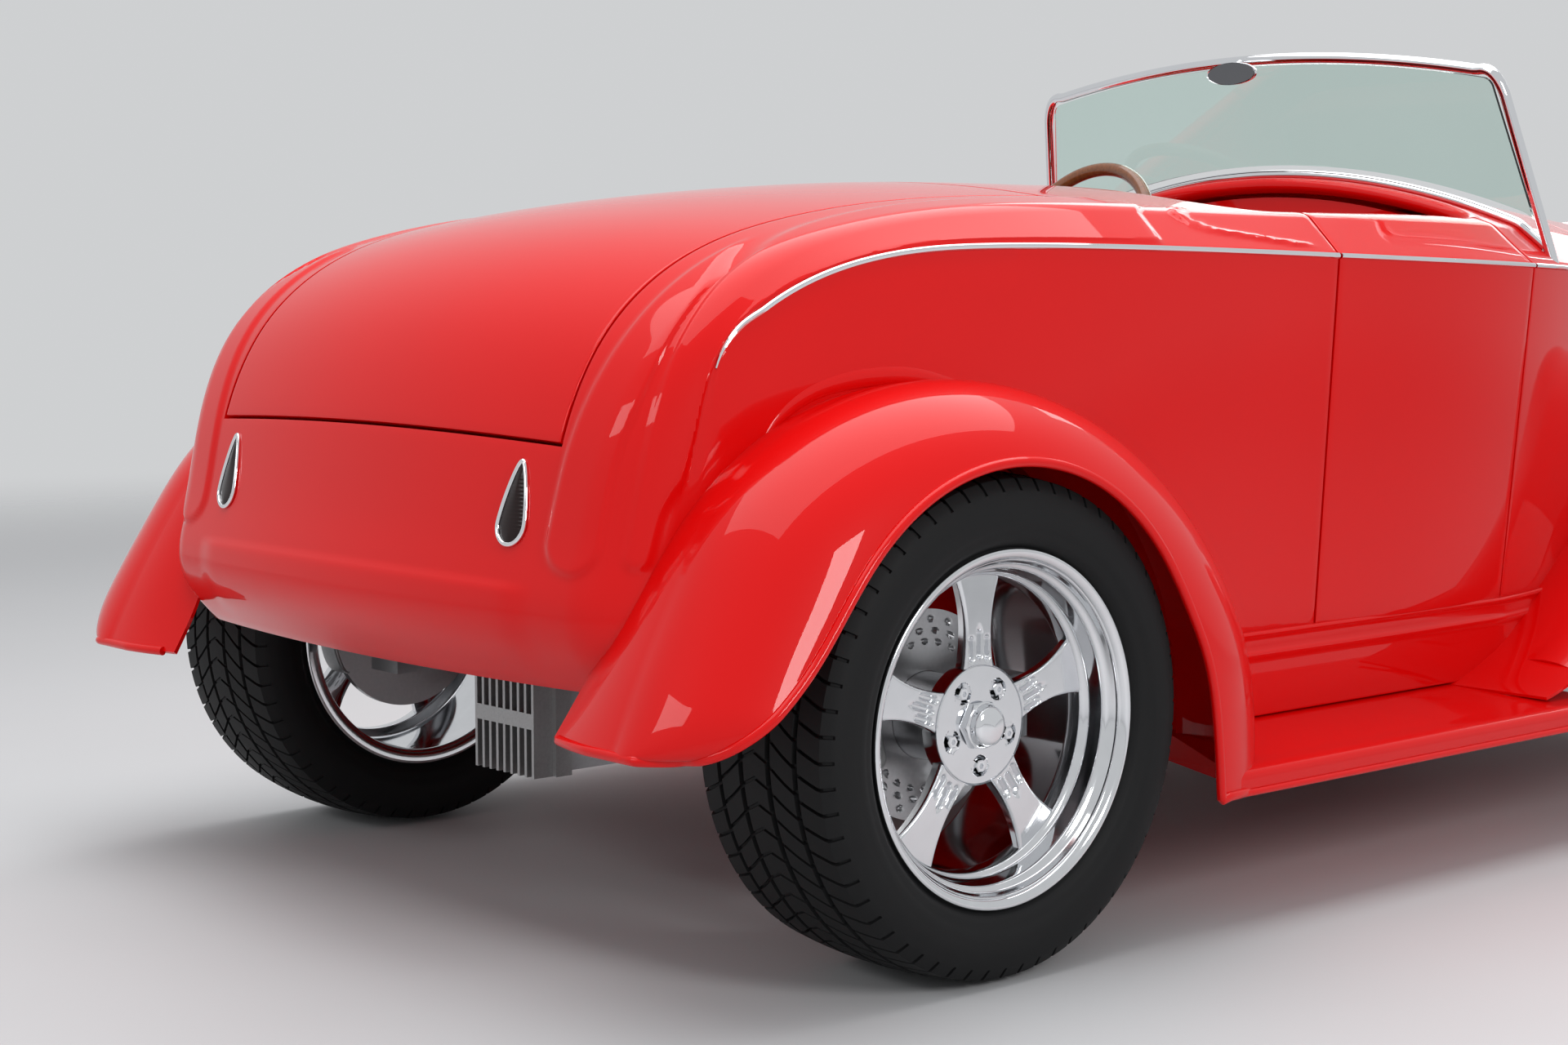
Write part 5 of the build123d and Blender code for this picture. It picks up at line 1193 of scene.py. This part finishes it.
@dataclass
class Wheel:
    """One wheel: a treaded tyre, a stepped polished rim, five spokes, a hub, lugs and a disc."""

    end: str
    name: str
    axle_x: float
    tyre_r: float
    tyre_w: float
    lip_r: float
    rim_w: float
    half_track: float
    disc_in: float
    disc_r: float
    pitches: int = 62
    groove: float = 7.0
    rings: int = 128
    dish: float = 58.0
    spoke_count: int = 5
    bolt_r: float = 57.15

    @property
    def side(self) -> float:
        """The side of the car, one for the left."""
        return SIDES[self.name]

    @property
    def body(self) -> str:
        """The body that the wheel turns with."""
        return self.piece("wheel")

    @property
    def face(self) -> float:
        """How far out the spokes' and the hub's face lies from the wheel's middle."""
        return self.rim_w / 2 - self.dish

    def piece(self, kind: str) -> str:
        """The name of one of the wheel's pieces."""
        return f"{kind}_{self.end}_{self.name}"

    def placed(self, p: Array) -> Array:
        """Points whose second axis is measured outwards from the wheel's middle, put in place."""
        out = p.copy()
        out[..., 1] = self.side * (self.half_track + p[..., 1])
        out[..., 0] += self.axle_x
        out[..., 2] += self.tyre_r
        return out

    def turned(self, profile: Array, steps: Optional[int] = None) -> Array:
        """A profile of distances outwards and radii, turned about the axle."""
        return self.placed(lathe(profile, (0, 0, 0), 1, steps or self.rings))

    def tyre(self) -> None:
        """The tyre: a closed profile round the axle whose tread is pressed in.

        Radius = profile less the groove's depth where a column lies in a ring groove, or
        where the angle lies in a cross slot. Each pitch has eight steps, and slots slant
        with the distance from the middle, so the grid's lines run along their edges.
        """
        half, w = self.tyre_w / 2, self.tyre_w / 275
        bead_y, bead_r = self.rim_w / 2 - 8.5, self.lip_r + 1
        top = half - 18
        rib = np.array([0, 11, 22.5, 24, 31, 32.5, 44, 56, 67, 72.5, 74, 80, 81.5, 92, 104, 112]) * w
        sunk = np.array([0, 0, 0, 1, 1, 0, 0, 0, 0, 0, 1, 1, 0, 0, 0, 0], float)
        zone = np.array([0, 0, 0, 0, 0, 1, 1, 1, 1, 1, 1, 1, 2, 2, 2, 2])
        shift = np.array([0, .15, .3, .3, .5, .5, .75, 1.0, 1.2, 1.3, 1.3, 1.6, 1.6, 1.75, 1.9, 2.0])
        tread_r = self.tyre_r - 9 * (rib / top) ** 2
        belly = (half, (self.lip_r + self.tyre_r) / 2 - 6)
        wall = arc_points((top, self.tyre_r - 9.0), belly, (bead_y, bead_r), np.linspace(0, 1, 17))
        ripple = np.zeros(17)
        ripple[[3, 10]] = 0.8
        ripple[13:15] = (1.6, 2.2)
        wall[:, 0] = np.minimum(wall[:, 0] + ripple, half)
        y = np.concatenate([rib, wall[:, 0]])
        r = np.concatenate([tread_r, wall[:, 1]])
        deep = np.concatenate([sunk, np.zeros(17)])
        zones = np.concatenate([zone, [2, 2, 2], np.full(14, 3)])
        shift = np.concatenate([shift, np.full(17, 2.05)])
        inside = rounded([
            (bead_y, bead_r), (bead_y, self.lip_r - 17), (bead_y - 18, self.lip_r - 17),
            (half - 22, (self.lip_r + self.tyre_r) / 2), (top - 16, self.tyre_r - 22),
            (0, self.tyre_r - 21)], 6, 1)
        y = np.concatenate([y, inside[1:, 0]])
        r = np.concatenate([r, inside[1:, 1]])
        pad = np.zeros(len(inside) - 1)
        deep, zones = np.concatenate([deep, pad]), np.concatenate([zones, pad + 3])
        shift = np.concatenate([shift, pad + 2.05])
        y, r = np.concatenate([y, -y[::-1][1:-1]]), np.concatenate([r, r[::-1][1:-1]])
        deep, zones, shift = (np.concatenate([a, a[::-1][1:-1]]) for a in (deep, zones, shift))
        parts = np.array([0.0, 0.03, 0.05, 0.17, 0.19, 0.6])
        steps = (np.arange(self.pitches)[:, None] + parts).ravel()
        slot = np.tile([0, 0, 1, 1, 0, 0], self.pitches).astype(float)
        depth = np.array([0.45, 0.85, 0.8, 0.0])[zones.astype(int)]
        cut = self.groove * np.maximum(deep[None], slot[:, None] * depth[None])
        angle = math.tau * (steps[:, None] + shift[None]) / self.pitches
        radius = r[None] - cut
        p = round_axle(radius, y, angle)
        p = np.concatenate([p, p[:1]])
        Forge().grid(self.placed(p), around=True).build(
            self.piece("tyre_tread"), RUBBER, self.body, [self.piece("tyre")], sharp=28)

    def rim(self) -> None:
        """The rim's closed profile: rolled lip, deep dish, step down to the barrel, and its back."""
        h, lip, seat = self.rim_w / 2, self.lip_r, self.lip_r - 18
        profile = rounded([
            (h - 8, lip - 4), (h - 6, lip), (h - 1, lip), (h, lip - 6), (h - 5, lip - 14), (h - 24, seat - 4),
            (h - 27, seat - 12), (h - 54, seat - 16), (h - 60, seat - 25), (h - 84, seat - 27),
            (h - 96, seat - 10), (-h + 4, seat - 9), (-h, lip - 2), (-h + 8, lip), (-h + 8, seat),
            (h - 8, seat), (h - 8, lip - 4)], 5, 3)
        Forge().grid(self.turned(profile), around=True).build(
            self.piece("rim_barrel"), RIM, self.body, [self.piece("rim")], sharp=40)

    def spokes(self) -> None:
        """Five spokes: rings of a crowned section carried outwards along each spoke.

        The half width runs from the hub's over a waist to a flare at the barrel. Three notches
        are pressed into the face by the root, each a smooth bump across times one along.
        """
        face, reach = self.face, self.lip_r - 18 - 22
        r = np.concatenate([np.linspace(46, 84, 5), np.linspace(87, 132, 26), np.linspace(137, reach, 14)])
        s = (r - 84) / (reach - 84)
        along = np.clip(s, 0, 1)
        half = 27 + 17 * along**2.2 - 5 * np.sin(np.pi * along) + np.where(r < 84, 3, 0)
        across = np.linspace(-1, 1, 37)
        forge = Forge()
        x = half[:, None] * across
        level = face - 0.02 * (r - 84)[:, None] - 3.2 * np.clip((np.abs(across) - 0.86) / 0.14, 0, 1) ** 2
        for centre, length, middle in ((0.0, 15, 112), (-15.0, 12, 106), (15.0, 12, 106)):
            d = np.hypot((x - centre) / 5.4, np.maximum(np.abs(r[:, None] - middle) - length, 0) / 5.4)
            level = level - 8.5 * ease(1.25 - d)
        depth = 26 - 6 * along
        back = ((1.0, 0.35), (1.0, 0.75), (0.55, 1.0), (-0.55, 1.0), (-1.0, 0.75), (-1.0, 0.35))
        for k in range(self.spoke_count):
            front = np.stack([np.broadcast_to(r[:, None], x.shape), level, x], -1)
            sides = []
            for end, drop in back:
                sides.append(np.stack([r, face - depth * drop, half * end], -1)[:, None])
            ring = np.concatenate([front, *sides], 1)
            a = math.tau * k / self.spoke_count + math.pi / 2
            q = ring.copy()
            q[..., 0] = ring[..., 0] * math.cos(a) - ring[..., 2] * math.sin(a)
            q[..., 2] = ring[..., 0] * math.sin(a) + ring[..., 2] * math.cos(a)
            forge.closed(self.placed(q))
        forge.build(self.piece("spokes"), RIM, self.body, sharp=45)

    def hub(self) -> None:
        """The hub's face with five pockets pressed in, its nuts, a hexagon and a bullet cap."""
        face = self.face
        r = np.concatenate([
            np.linspace(0.5, 36, 4), np.linspace(40, 75, 24), np.linspace(78, 84, 3), [84, 84]])
        a = np.linspace(0, math.tau, 160, endpoint=False)
        rr, aa = np.meshgrid(r, a, indexing="ij")
        level = np.full(rr.shape, face + 1.5)
        level[-3] -= 2.5
        level[-1] = face - 26
        for k in range(self.spoke_count):
            t = math.tau * (k + 0.5) / self.spoke_count + math.pi / 2
            across, up = self.bolt_r * math.cos(t), self.bolt_r * math.sin(t)
            d = np.hypot(rr * np.cos(aa) - across, rr * np.sin(aa) - up)
            level = level - 13 * ease((15.0 - d) / 2.2) * (rr < 83)
        p = round_axle(rr, level, aa)
        Forge().grid(self.placed(p), around=True).build(
            self.piece("hub_face"), RIM, self.body, sharp=38)
        nut = Forge()
        for k in range(self.spoke_count):
            t = math.tau * (k + 0.5) / self.spoke_count + math.pi / 2
            centre = np.array([self.bolt_r * math.cos(t), 0, self.bolt_r * math.sin(t)])
            rings = [(face - 12, 9.4), (face + 3, 9.4), (face + 4.4, 8.0), (face + 4.4, 4.2), (face + 1, 3.8)]
            nut.closed(self.placed(lathe(rings, centre, 1, 6)))
        nut.build(self.piece("lug_nuts"), CHROME, self.body, sharp=25)
        cap = rounded([
            (face, 36), (face + 9, 35), (face + 10, 30), (face + 22, 28), (face + 26, 22),
            (face + 30, 0.2)], 3, 4)
        part = len(cap) // 3
        Forge().closed(self.turned(cap[:part], 6)).build(
            self.piece("cap_base"), CHROME, self.body, sharp=25)
        Forge().closed(self.turned(cap[part - 1:], 64)).build(self.piece("cap"), CHROME, self.body, sharp=35)
        disc = self.disc_in - self.half_track
        barrel = rounded([(face - 24, 60), (disc + 14, 62), (disc - 40, 62)], 2)
        Forge().closed(self.turned(barrel, 48)).build(self.piece("hub_barrel"), STEEL, self.body)

    def disc(self) -> None:
        """The drilled disc, a flat ring with three rounds of pits, and its caliper, a rounded
        section carried along an arc."""
        inner, outer = self.disc_in - self.half_track, self.disc_in - self.half_track + 14
        r = np.concatenate([[62.5], np.linspace(self.disc_r - 53, self.disc_r, 28)])
        a = np.linspace(0, math.tau, 216, endpoint=False)
        rr, aa = np.meshgrid(r, a, indexing="ij")
        pit = np.zeros(rr.shape)
        for ring, radius in enumerate((self.disc_r - 46, self.disc_r - 30, self.disc_r - 14)):
            step = math.tau / 24
            off = (aa - ring * step / 3 + step / 2) % step - step / 2
            pit += 5 * ease((4.6 - np.hypot(rr - radius, off * radius)) / 1.6)
        level = outer - pit
        front, back = round_axle(rr, level, aa), round_axle(rr, inner, aa)[[0, -1]]
        loop = np.concatenate([front, back[::-1], front[:1]])
        Forge().grid(self.placed(loop), around=True).build(
            self.piece("brake_disc"), STEEL, self.body, sharp=40)
        t = np.linspace(math.radians(150), math.radians(215), 26)
        arc_r = self.disc_r - 22
        shape = rounded([
            (outer + 2, -30), (outer + 24, -26), (outer + 26, 20), (outer + 22, 34), (inner - 14, 34),
            (inner - 14, 27), (outer + 2, 27), (outer + 2, -30)], 5, 3)
        swell = np.sqrt(np.clip(1 - np.abs(np.linspace(-1, 1, 26)) ** 8, 0.05, 1))
        q = np.zeros((26, len(shape), 3))
        radial = arc_r + shape[None, :, 1] * swell[:, None]
        q[..., 0], q[..., 2] = radial * np.cos(t)[:, None], radial * np.sin(t)[:, None]
        q[..., 1] = outer + 2 + (shape[None, :, 0] - outer - 2) * swell[:, None]
        owner = "chassis" if self.end == "rear" else f"knuckle_{self.name}"
        Forge().closed(self.placed(q)).build(self.piece("brake_caliper"), CAST, owner, sharp=40)

    def build(self) -> None:
        """Builds the whole wheel."""
        self.tyre()
        self.rim()
        self.spokes()
        self.hub()
        self.disc()


@dataclass
class Screen:
    """Raked windshield: a chrome frame with a foot along the cowl, its glass and the mirror."""

    x: float = REAR_AXLE_X + SCREEN_X
    z: float = 1050.0
    rake: float = 15.0
    section: float = 9.6
    top_half: float = 553.0
    foot_half: float = 626.0
    side_top: float = 298.0
    top: float = 352.0
    skin: Skin = field(default_factory=body_skin)

    def placed(self, y: Array, up: Array, off: Any = 0.0) -> Array:
        """Points of the raked plane from half widths and lengths up it."""
        c, s = math.cos(math.radians(self.rake)), math.sin(math.radians(self.rake))
        return np.stack([self.x - up * s + off * c, y, self.z + up * c + off * s], -1)

    def build(self) -> None:
        """Builds the frame's hoop, its foot, the posts' feet and the mirror."""
        t = np.linspace(0, 1, 12)[:, None]
        inset, drop = 10, 74
        side_a = np.array([(self.foot_half - inset - 1, -drop), (self.top_half + 4, self.side_top - 52)])
        corner = np.array([self.top_half - inset, self.side_top + 4])
        wide, level = self.top_half - 46, self.side_top - 4
        arch = arc_points((wide, level), (0, self.top - inset), (-wide, level), np.linspace(0, 1, 60))
        bend = (1 - t) ** 2 * side_a[1] + 2 * t * (1 - t) * corner + t**2 * arch[0]
        half = np.concatenate([resample(side_a, 24), bend[1:], arch[1:30]])
        line = np.concatenate([half, (half * np.array([-1, 1]))[::-1]])
        path = resample(self.placed(line[:, 0], line[:, 1]), 220)
        c, s = math.cos(math.radians(self.rake)), math.sin(math.radians(self.rake))
        Forge().closed(tube(path, self.section, 16, up=(c, 0, s), flat=1.1)).build(
            "screen_frame", CHROME, "chassis", ["windshield_frame"])
        share = np.linspace(-0.66, 0.66, 90)
        v = np.full(90, 1590.0)
        for _ in range(4):
            p = self.skin.at(v, share)
            v = SCREEN_X - (p[:, 2] - self.z) * math.tan(math.radians(self.rake))
        foot = self.skin.at(v, share) + self.skin.normal(v, share) * 7
        Forge().closed(tube(foot, 10, 14, flat=0.9)).build("screen_foot", CHROME, "chassis")
        self.mirror()

    def mirror(self) -> None:
        """An oval mirror: ellipses that shrink to its back, on a short stem."""
        x = REAR_AXLE_X + 1522.5 - 42
        a = np.linspace(0, math.tau, 64, endpoint=False)
        rings = [
            (0.0, 0.2), (0.0, 0.92), (-1.0, 0.97), (2.0, 1.0), (6.0, 0.97), (11.0, 0.8),
            (15.0, 0.5), (16.5, 0.1)]
        p = np.zeros((len(rings), 64, 3))
        for k, (off, size) in enumerate(rings):
            p[k, :, 0] = x + off
            p[k, :, 1], p[k, :, 2] = 20 + 62 * size * np.cos(a), 1354 + 22 * size * np.sin(a)
        Forge().closed(p).build("mirror", CHROME, "chassis", sharp=40)
        face = np.stack([p[1] - (1.4, 0, 0), p[1] + (0.4, 0, 0)])
        # The mirror's face is darkened to paint a grey reflection in.
        Forge().closed(face).build("mirror_glass", MIRROR_PAINTED_GREY_REFLECTION, "chassis", sharp=40)
        stem = smooth_line([(x + 10, 20, 1360), (x + 20, 20, 1374), (x + 34, 20, 1380)], 20)
        Forge().closed(tube(stem, 5, 12, up=(0, 1, 0))).build("mirror_stem", CHROME, "chassis")


@dataclass
class Lamps:
    """Teardrop tail lamps sunk in chrome bezels, and bowl headlamps on their posts."""

    y: float = 387.0
    low: float = 632.0
    r: float = 27.0
    top: float = 717.0
    skin: Skin = field(default_factory=body_skin)

    def outline(self, scale: float, count: int = 90) -> Array:
        """The teardrop: a point above, straight flanks that swell into a round below."""
        t = np.linspace(0, math.tau, count, endpoint=False)
        lift = np.cos(t)
        y = self.r * np.sin(t) * (1 - 0.42 * np.clip(lift, 0, 1) ** 1.2)
        z = np.where(lift > 0, lift * (self.top - self.low), lift * self.r)
        return np.stack([y * scale, self.low + z * (0.5 + 0.5 * scale)], 1)

    def on_tail(self, y: Array, z: Array) -> Array:
        """Points of the tail's skin at half widths and heights, by a fitted polynomial."""
        stations = np.linspace(turn_station(172), turn_station(150), 30)
        v, share = np.meshgrid(stations, np.linspace(0.2, 0.42, 30), indexing="ij")
        p = self.skin.at(v, share).reshape(-1, 3)
        fit = np.linalg.lstsq(self.terms(p[:, 1], p[:, 2]), p[:, 0], rcond=None)[0]
        return np.stack([self.terms(np.abs(y), z) @ fit, y, z], -1)

    def terms(self, y: Array, z: Array) -> Array:
        """The fitted surface's terms: powers of the half width and the height about the lamp."""
        a, b = (y - self.y) / 50, (z - 660) / 80
        return np.stack([np.ones_like(a), a, b, a * a, a * b, b * b, b**3], -1)

    def tail_lamps(self) -> None:
        """Each lamp's bezel as a tube round the outline, and its lens as a dome of rings."""
        for name, side in SIDES.items():
            ring = self.outline(1.0)
            path = self.on_tail(side * self.y + ring[:, 0], ring[:, 1]) - np.array([2.0, 0, 0])
            loop = tube(np.concatenate([path, path[:2]]), 3.4, 12, up=(1, 0, 0))
            Forge().grid(loop[:-1], around=True).build(
                f"tail_bezel_{name}", CHROME, "chassis", sharp=50)
            rings = []
            for scale in (1.0, 0.95, 0.85, 0.7, 0.5, 0.3, 0.12, 0.01):
                edge = self.outline(scale)
                dome = np.array([-4.0 * (1 - scale**2) - 0.5, 0, 0])
                rings.append(self.on_tail(side * self.y + edge[:, 0], edge[:, 1]) + dome)
            base = rings[0] + np.array([8.0, 0, 0])
            stack = np.array([base, *rings])
            Forge().closed(stack).build(
                f"tail_lens_{name}", LENS, "chassis", ["tail_lamps"], sharp=50)

    def headlamps(self) -> None:
        """Bowls turned about the line ahead, with a bezel, a lens and a post to the frame."""
        x = REAR_AXLE_X + 2720
        bowl = rounded([
            (-150, 0.2), (-146, 24), (-120, 54), (-70, 78), (-14, 87.5), (0, 87.5), (4, 82), (2, 78),
            (-10, 78), (-10, 0.2)], 14, 6)
        for name, side in SIDES.items():
            centre = (x, side * 405.0, 850.0)
            Forge().grid(lathe(bowl, centre, 0, 80), around=True).build(
                f"headlamp_bowl_{name}", CHROME, "chassis", ["headlamps"], sharp=40)
            lens = rounded([(-6, 0.2), (-6, 78), (2, 77), (10, 60), (17, 30), (19, 0.2)], 12, 6)
            Forge().grid(lathe(lens, centre, 0, 80), around=True).build(
                f"headlamp_lens_{name}", CLEAR, "chassis", sharp=40)
            post = np.stack([np.full(30, x - 40), np.full(30, side * 360.0), np.linspace(405.5, 812, 30)], 1)
            post[:, 1] += side * 30 * ease((post[:, 2] - 640) / 160)
            Forge().closed(tube(post, 12 - 3 * ease((post[:, 2] - 405) / 300), 20, up=(0, 1, 0))).build(
                f"headlamp_post_{name}", CHROME, "chassis")

    def build(self) -> None:
        """Builds all the lamps."""
        self.tail_lamps()
        self.headlamps()


@dataclass
class Cockpit:
    """Pleated bench, and a steering wheel with a wooden rim."""

    seat_rear: float = 850.0
    seat_front: float = 1330.0
    half: float = 497.0
    seat_top: float = 640.0
    back_top: float = 1000.0
    channels: int = 12

    def pad(self, name: str, low: Sequence[float], high: Sequence[float], across: int, face: str) -> None:
        """A padded block: a box's faces blown towards an ellipsoid, with channels across one face.

        Each point of a cube's grid is the box's half sizes times a blend of the cube and the
        sphere, more where the face is free. Channels sink by a smooth valley at even half widths.
        """
        low, high = np.array(low), np.array(high)
        n = 44
        s = np.linspace(-1, 1, n)
        a, b = np.meshgrid(s, s, indexing="ij")
        forge = Forge()
        for axis in range(3):
            for sign in (-1.0, 1.0):
                cube = np.zeros((n, n, 3))
                others = [k for k in range(3) if k != axis]
                cube[..., axis], cube[..., others[0]], cube[..., others[1]] = sign, a, b
                r = (np.abs(cube) ** 9).sum(-1, keepdims=True) ** (1 / 9)
                unit = cube / r
                p = (low + high) / 2 + unit * (high - low) / 2
                flat = 1 - np.abs(unit).clip(0, 1) ** 6
                free = 2 if face == "top" else 0
                crown = np.prod(np.delete(flat, free, -1), -1)
                pleat = np.abs(((unit[..., 1] * across / 2 + 0.5) % 1) - 0.5) * 2
                valley = (1 - ease(pleat * 2.2)) * (np.abs(unit[..., 1]) < 0.93)
                towards = unit[..., free] > 0.55
                p[..., free] += towards * (-valley * 9 * crown**0.3)
                forge.grid(p)
        piece = forge.build(name, LEATHER, "chassis", ["seat"], sharp=70)

    def build(self) -> None:
        """Builds the bench, the wheel and its boss."""
        x = REAR_AXLE_X
        rear = x + self.seat_rear
        base = (rear + 96, -self.half, 346), (x + self.seat_front, self.half, self.seat_top)
        back = (rear - 18, -self.half, 600), (rear + 108, self.half, self.back_top)
        self.pad("seat_base", *base, self.channels, "top")
        self.pad("seat_back", *back, self.channels, "front")
        fall = math.radians(28)
        hub = np.array([REAR_AXLE_X + 1396.0, 340.0, 1030.0])
        along = np.array([math.cos(fall), 0, -math.sin(fall)])
        up = np.array([math.sin(fall), 0, math.cos(fall)])
        left = np.array([0, 1.0, 0])
        a = np.linspace(0, math.tau, 121)
        ring = hub + 170 * (np.cos(a)[:, None] * up + np.sin(a)[:, None] * left)
        Forge().grid(tube(ring, 13.6, 18, up=along), around=True).build(
            "steering_rim", WOOD, "steering_wheel", ["steering_wheel"])
        forge = Forge()
        for k in range(3):
            t = math.tau * k / 3 + math.pi
            out = math.cos(t) * up + math.sin(t) * left
            s = np.linspace(0, 1, 24)
            path = hub + out * np.linspace(20, 162, 24)[:, None] + along * (14 * (1 - s) ** 2)[:, None] * 0.5
            forge.closed(tube(path, 11 - 3 * s, 14, up=along, flat=0.3))
        cap = [(-14, 0.2), (-13, 20), (-8, 31), (0, 34), (15, 34), (15.5, 22), (15.5, 0.2)]
        turned = lathe(rounded(cap, 4), (0, 0, 0), 0, 48)
        boss = hub + turned[..., :1] * along + turned[..., 1:2] * left + turned[..., 2:] * up
        forge.grid(boss, around=True)
        forge.build("steering_spokes", CHROME, "steering_wheel", sharp=40)


@dataclass
class Studio:
    """Pale floor, soft lamps, plain world and the photograph's camera."""

    eye: tuple[float, float, float] = (-3.855, -3.315, 0.970)
    yaw: float = 49.079
    pitch: float = -5.390
    lens: float = 60.64
    backdrop: tuple[float, float, float] = (0.62, 0.63, 0.64)
    floor_r: float = 9.5

    def floor(self) -> None:
        """A wide pale disc that fades out before its rim."""
        a = np.linspace(0, math.tau, 128, endpoint=False)
        rim = np.stack([self.floor_r * np.cos(a), self.floor_r * np.sin(a), np.zeros(128)], 1)
        mesh = bpy.data.meshes.new("studio_floor")
        mesh.from_pydata(rim.tolist(), [], [list(range(128))])
        floor = bpy.data.objects.new("studio_floor", mesh)
        bpy.context.scene.collection.objects.link(floor)
        mesh.materials.append(SHOP.get(FLOOR))

    def world(self) -> None:
        """An even light, with the pale backdrop for camera, glossy and transmission rays."""
        world = bpy.data.worlds.new("studio")
        bpy.context.scene.world = world
        bench = Bench(world)
        rays = bench.node("ShaderNodeLightPath", output="Is Camera Ray")
        gloss = bench.node("ShaderNodeLightPath", output="Is Glossy Ray")
        clear = bench.node("ShaderNodeLightPath", output="Is Transmission Ray")
        seen = bench.node("ShaderNodeMath", {0: rays + gloss + clear, 1: 1.0}, operation="MINIMUM")
        dim = bench.node("ShaderNodeBackground", {"Color": (0.42, 0.43, 0.44, 1), "Strength": 1.1})
        pale = bench.node("ShaderNodeBackground", {"Color": (*self.backdrop, 1), "Strength": 1.0})
        mix = bench.node("ShaderNodeMixShader", {0: seen, 1: dim, 2: pale})
        bench.node("ShaderNodeOutputWorld", {"Surface": mix})

    def lamp(self, name: str, at: Sequence[float], size: tuple[float, float], watts: float) -> None:
        """A soft rectangular lamp aimed at the car's middle."""
        light = bpy.data.lights.new(name, "AREA")
        light.shape, light.size, light.size_y, light.energy = "RECTANGLE", *size, watts
        lamp = bpy.data.objects.new(name, light)
        bpy.context.scene.collection.objects.link(lamp)
        lamp.location = at
        lamp.rotation_euler = (Vector((-0.6, 0, 0.5)) - Vector(at)).to_track_quat("-Z", "Y").to_euler()

    def camera(self) -> None:
        """The photograph's camera."""
        data = bpy.data.cameras.new("camera")
        data.lens, data.sensor_width = self.lens, 36.0
        camera = bpy.data.objects.new("camera", data)
        bpy.context.scene.collection.objects.link(camera)
        camera.location = self.eye
        camera.rotation_euler = (math.radians(90 + self.pitch), 0.0, math.radians(self.yaw - 90))
        bpy.context.scene.camera = camera

    def build(self) -> None:
        """Sets up the stage."""
        self.floor()
        self.world()
        self.camera()
        self.lamp("soft_roof", (-0.6, 0.2, 4.2), (6.5, 4.0), 168)
        self.lamp("soft_right", (-1.6, -4.8, 2.5), (1.0, 1.5), 62)
        self.lamp("soft_rear", (-7.0, 0.6, 3.8), (3.2, 1.0), 44)
        self.lamp("soft_front", (5.0, 2.4, 3.4), (3.0, 2.4), 60)
        bpy.context.scene.view_settings.view_transform = "Standard"


CARRIED = {
    "chassis_frame": FRAME_RED, "front_axle": CHROME, "rear_axle": STEEL, "quickchange_cover": CAST,
    "rear_suspension": IRON, "exhaust": STEEL, "gearbox_driveshaft": CAST, "engine_block": CAST,
    "radiator": IRON, "floor_pan": RED, "grille_shell": RED, "grille_bars": CHROME, "dashboard": RED,
    "steering_column": CHROME, "windshield_glass": GLASS, "knuckle_left": STEEL, "knuckle_right": STEEL,
    "tie_rod": CHROME,
}


def carry_over() -> None:
    """Gives every CAD node a finish of its own in all its material slots."""
    for name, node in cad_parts.items():
        node.data.materials.clear()
        node.data.materials.append(SHOP.get(CARRIED.get(name, RED)))
        LOG.info("carried over %s", name)


def main() -> None:
    """Builds the stage and every piece in order."""
    logging.basicConfig(level=logging.INFO, format="%(name)s %(message)s")
    carry_over()
    Studio().build()
    BodyPanels().build()
    Hood().build()
    Fenders().build()
    wheels = {
        "rear": dict(
            axle_x=REAR_AXLE_X, tyre_r=REAR_TYRE_R, tyre_w=275.0, lip_r=248.0, rim_w=248.0,
            half_track=713.0, disc_in=656.0, disc_r=150.0),
        "front": dict(
            axle_x=REAR_AXLE_X + WHEELBASE, tyre_r=312.0, tyre_w=215.0, lip_r=234.0, rim_w=203.0,
            half_track=722.0, disc_in=676.0, disc_r=140.0, pitches=54, groove=6.0),
    }
    for name in SIDES:
        for end, sizes in wheels.items():
            Wheel(end, name, **sizes).build()
    Screen().build()
    Lamps().build()
    Cockpit().build()


if __name__ == "__main__":
    main()
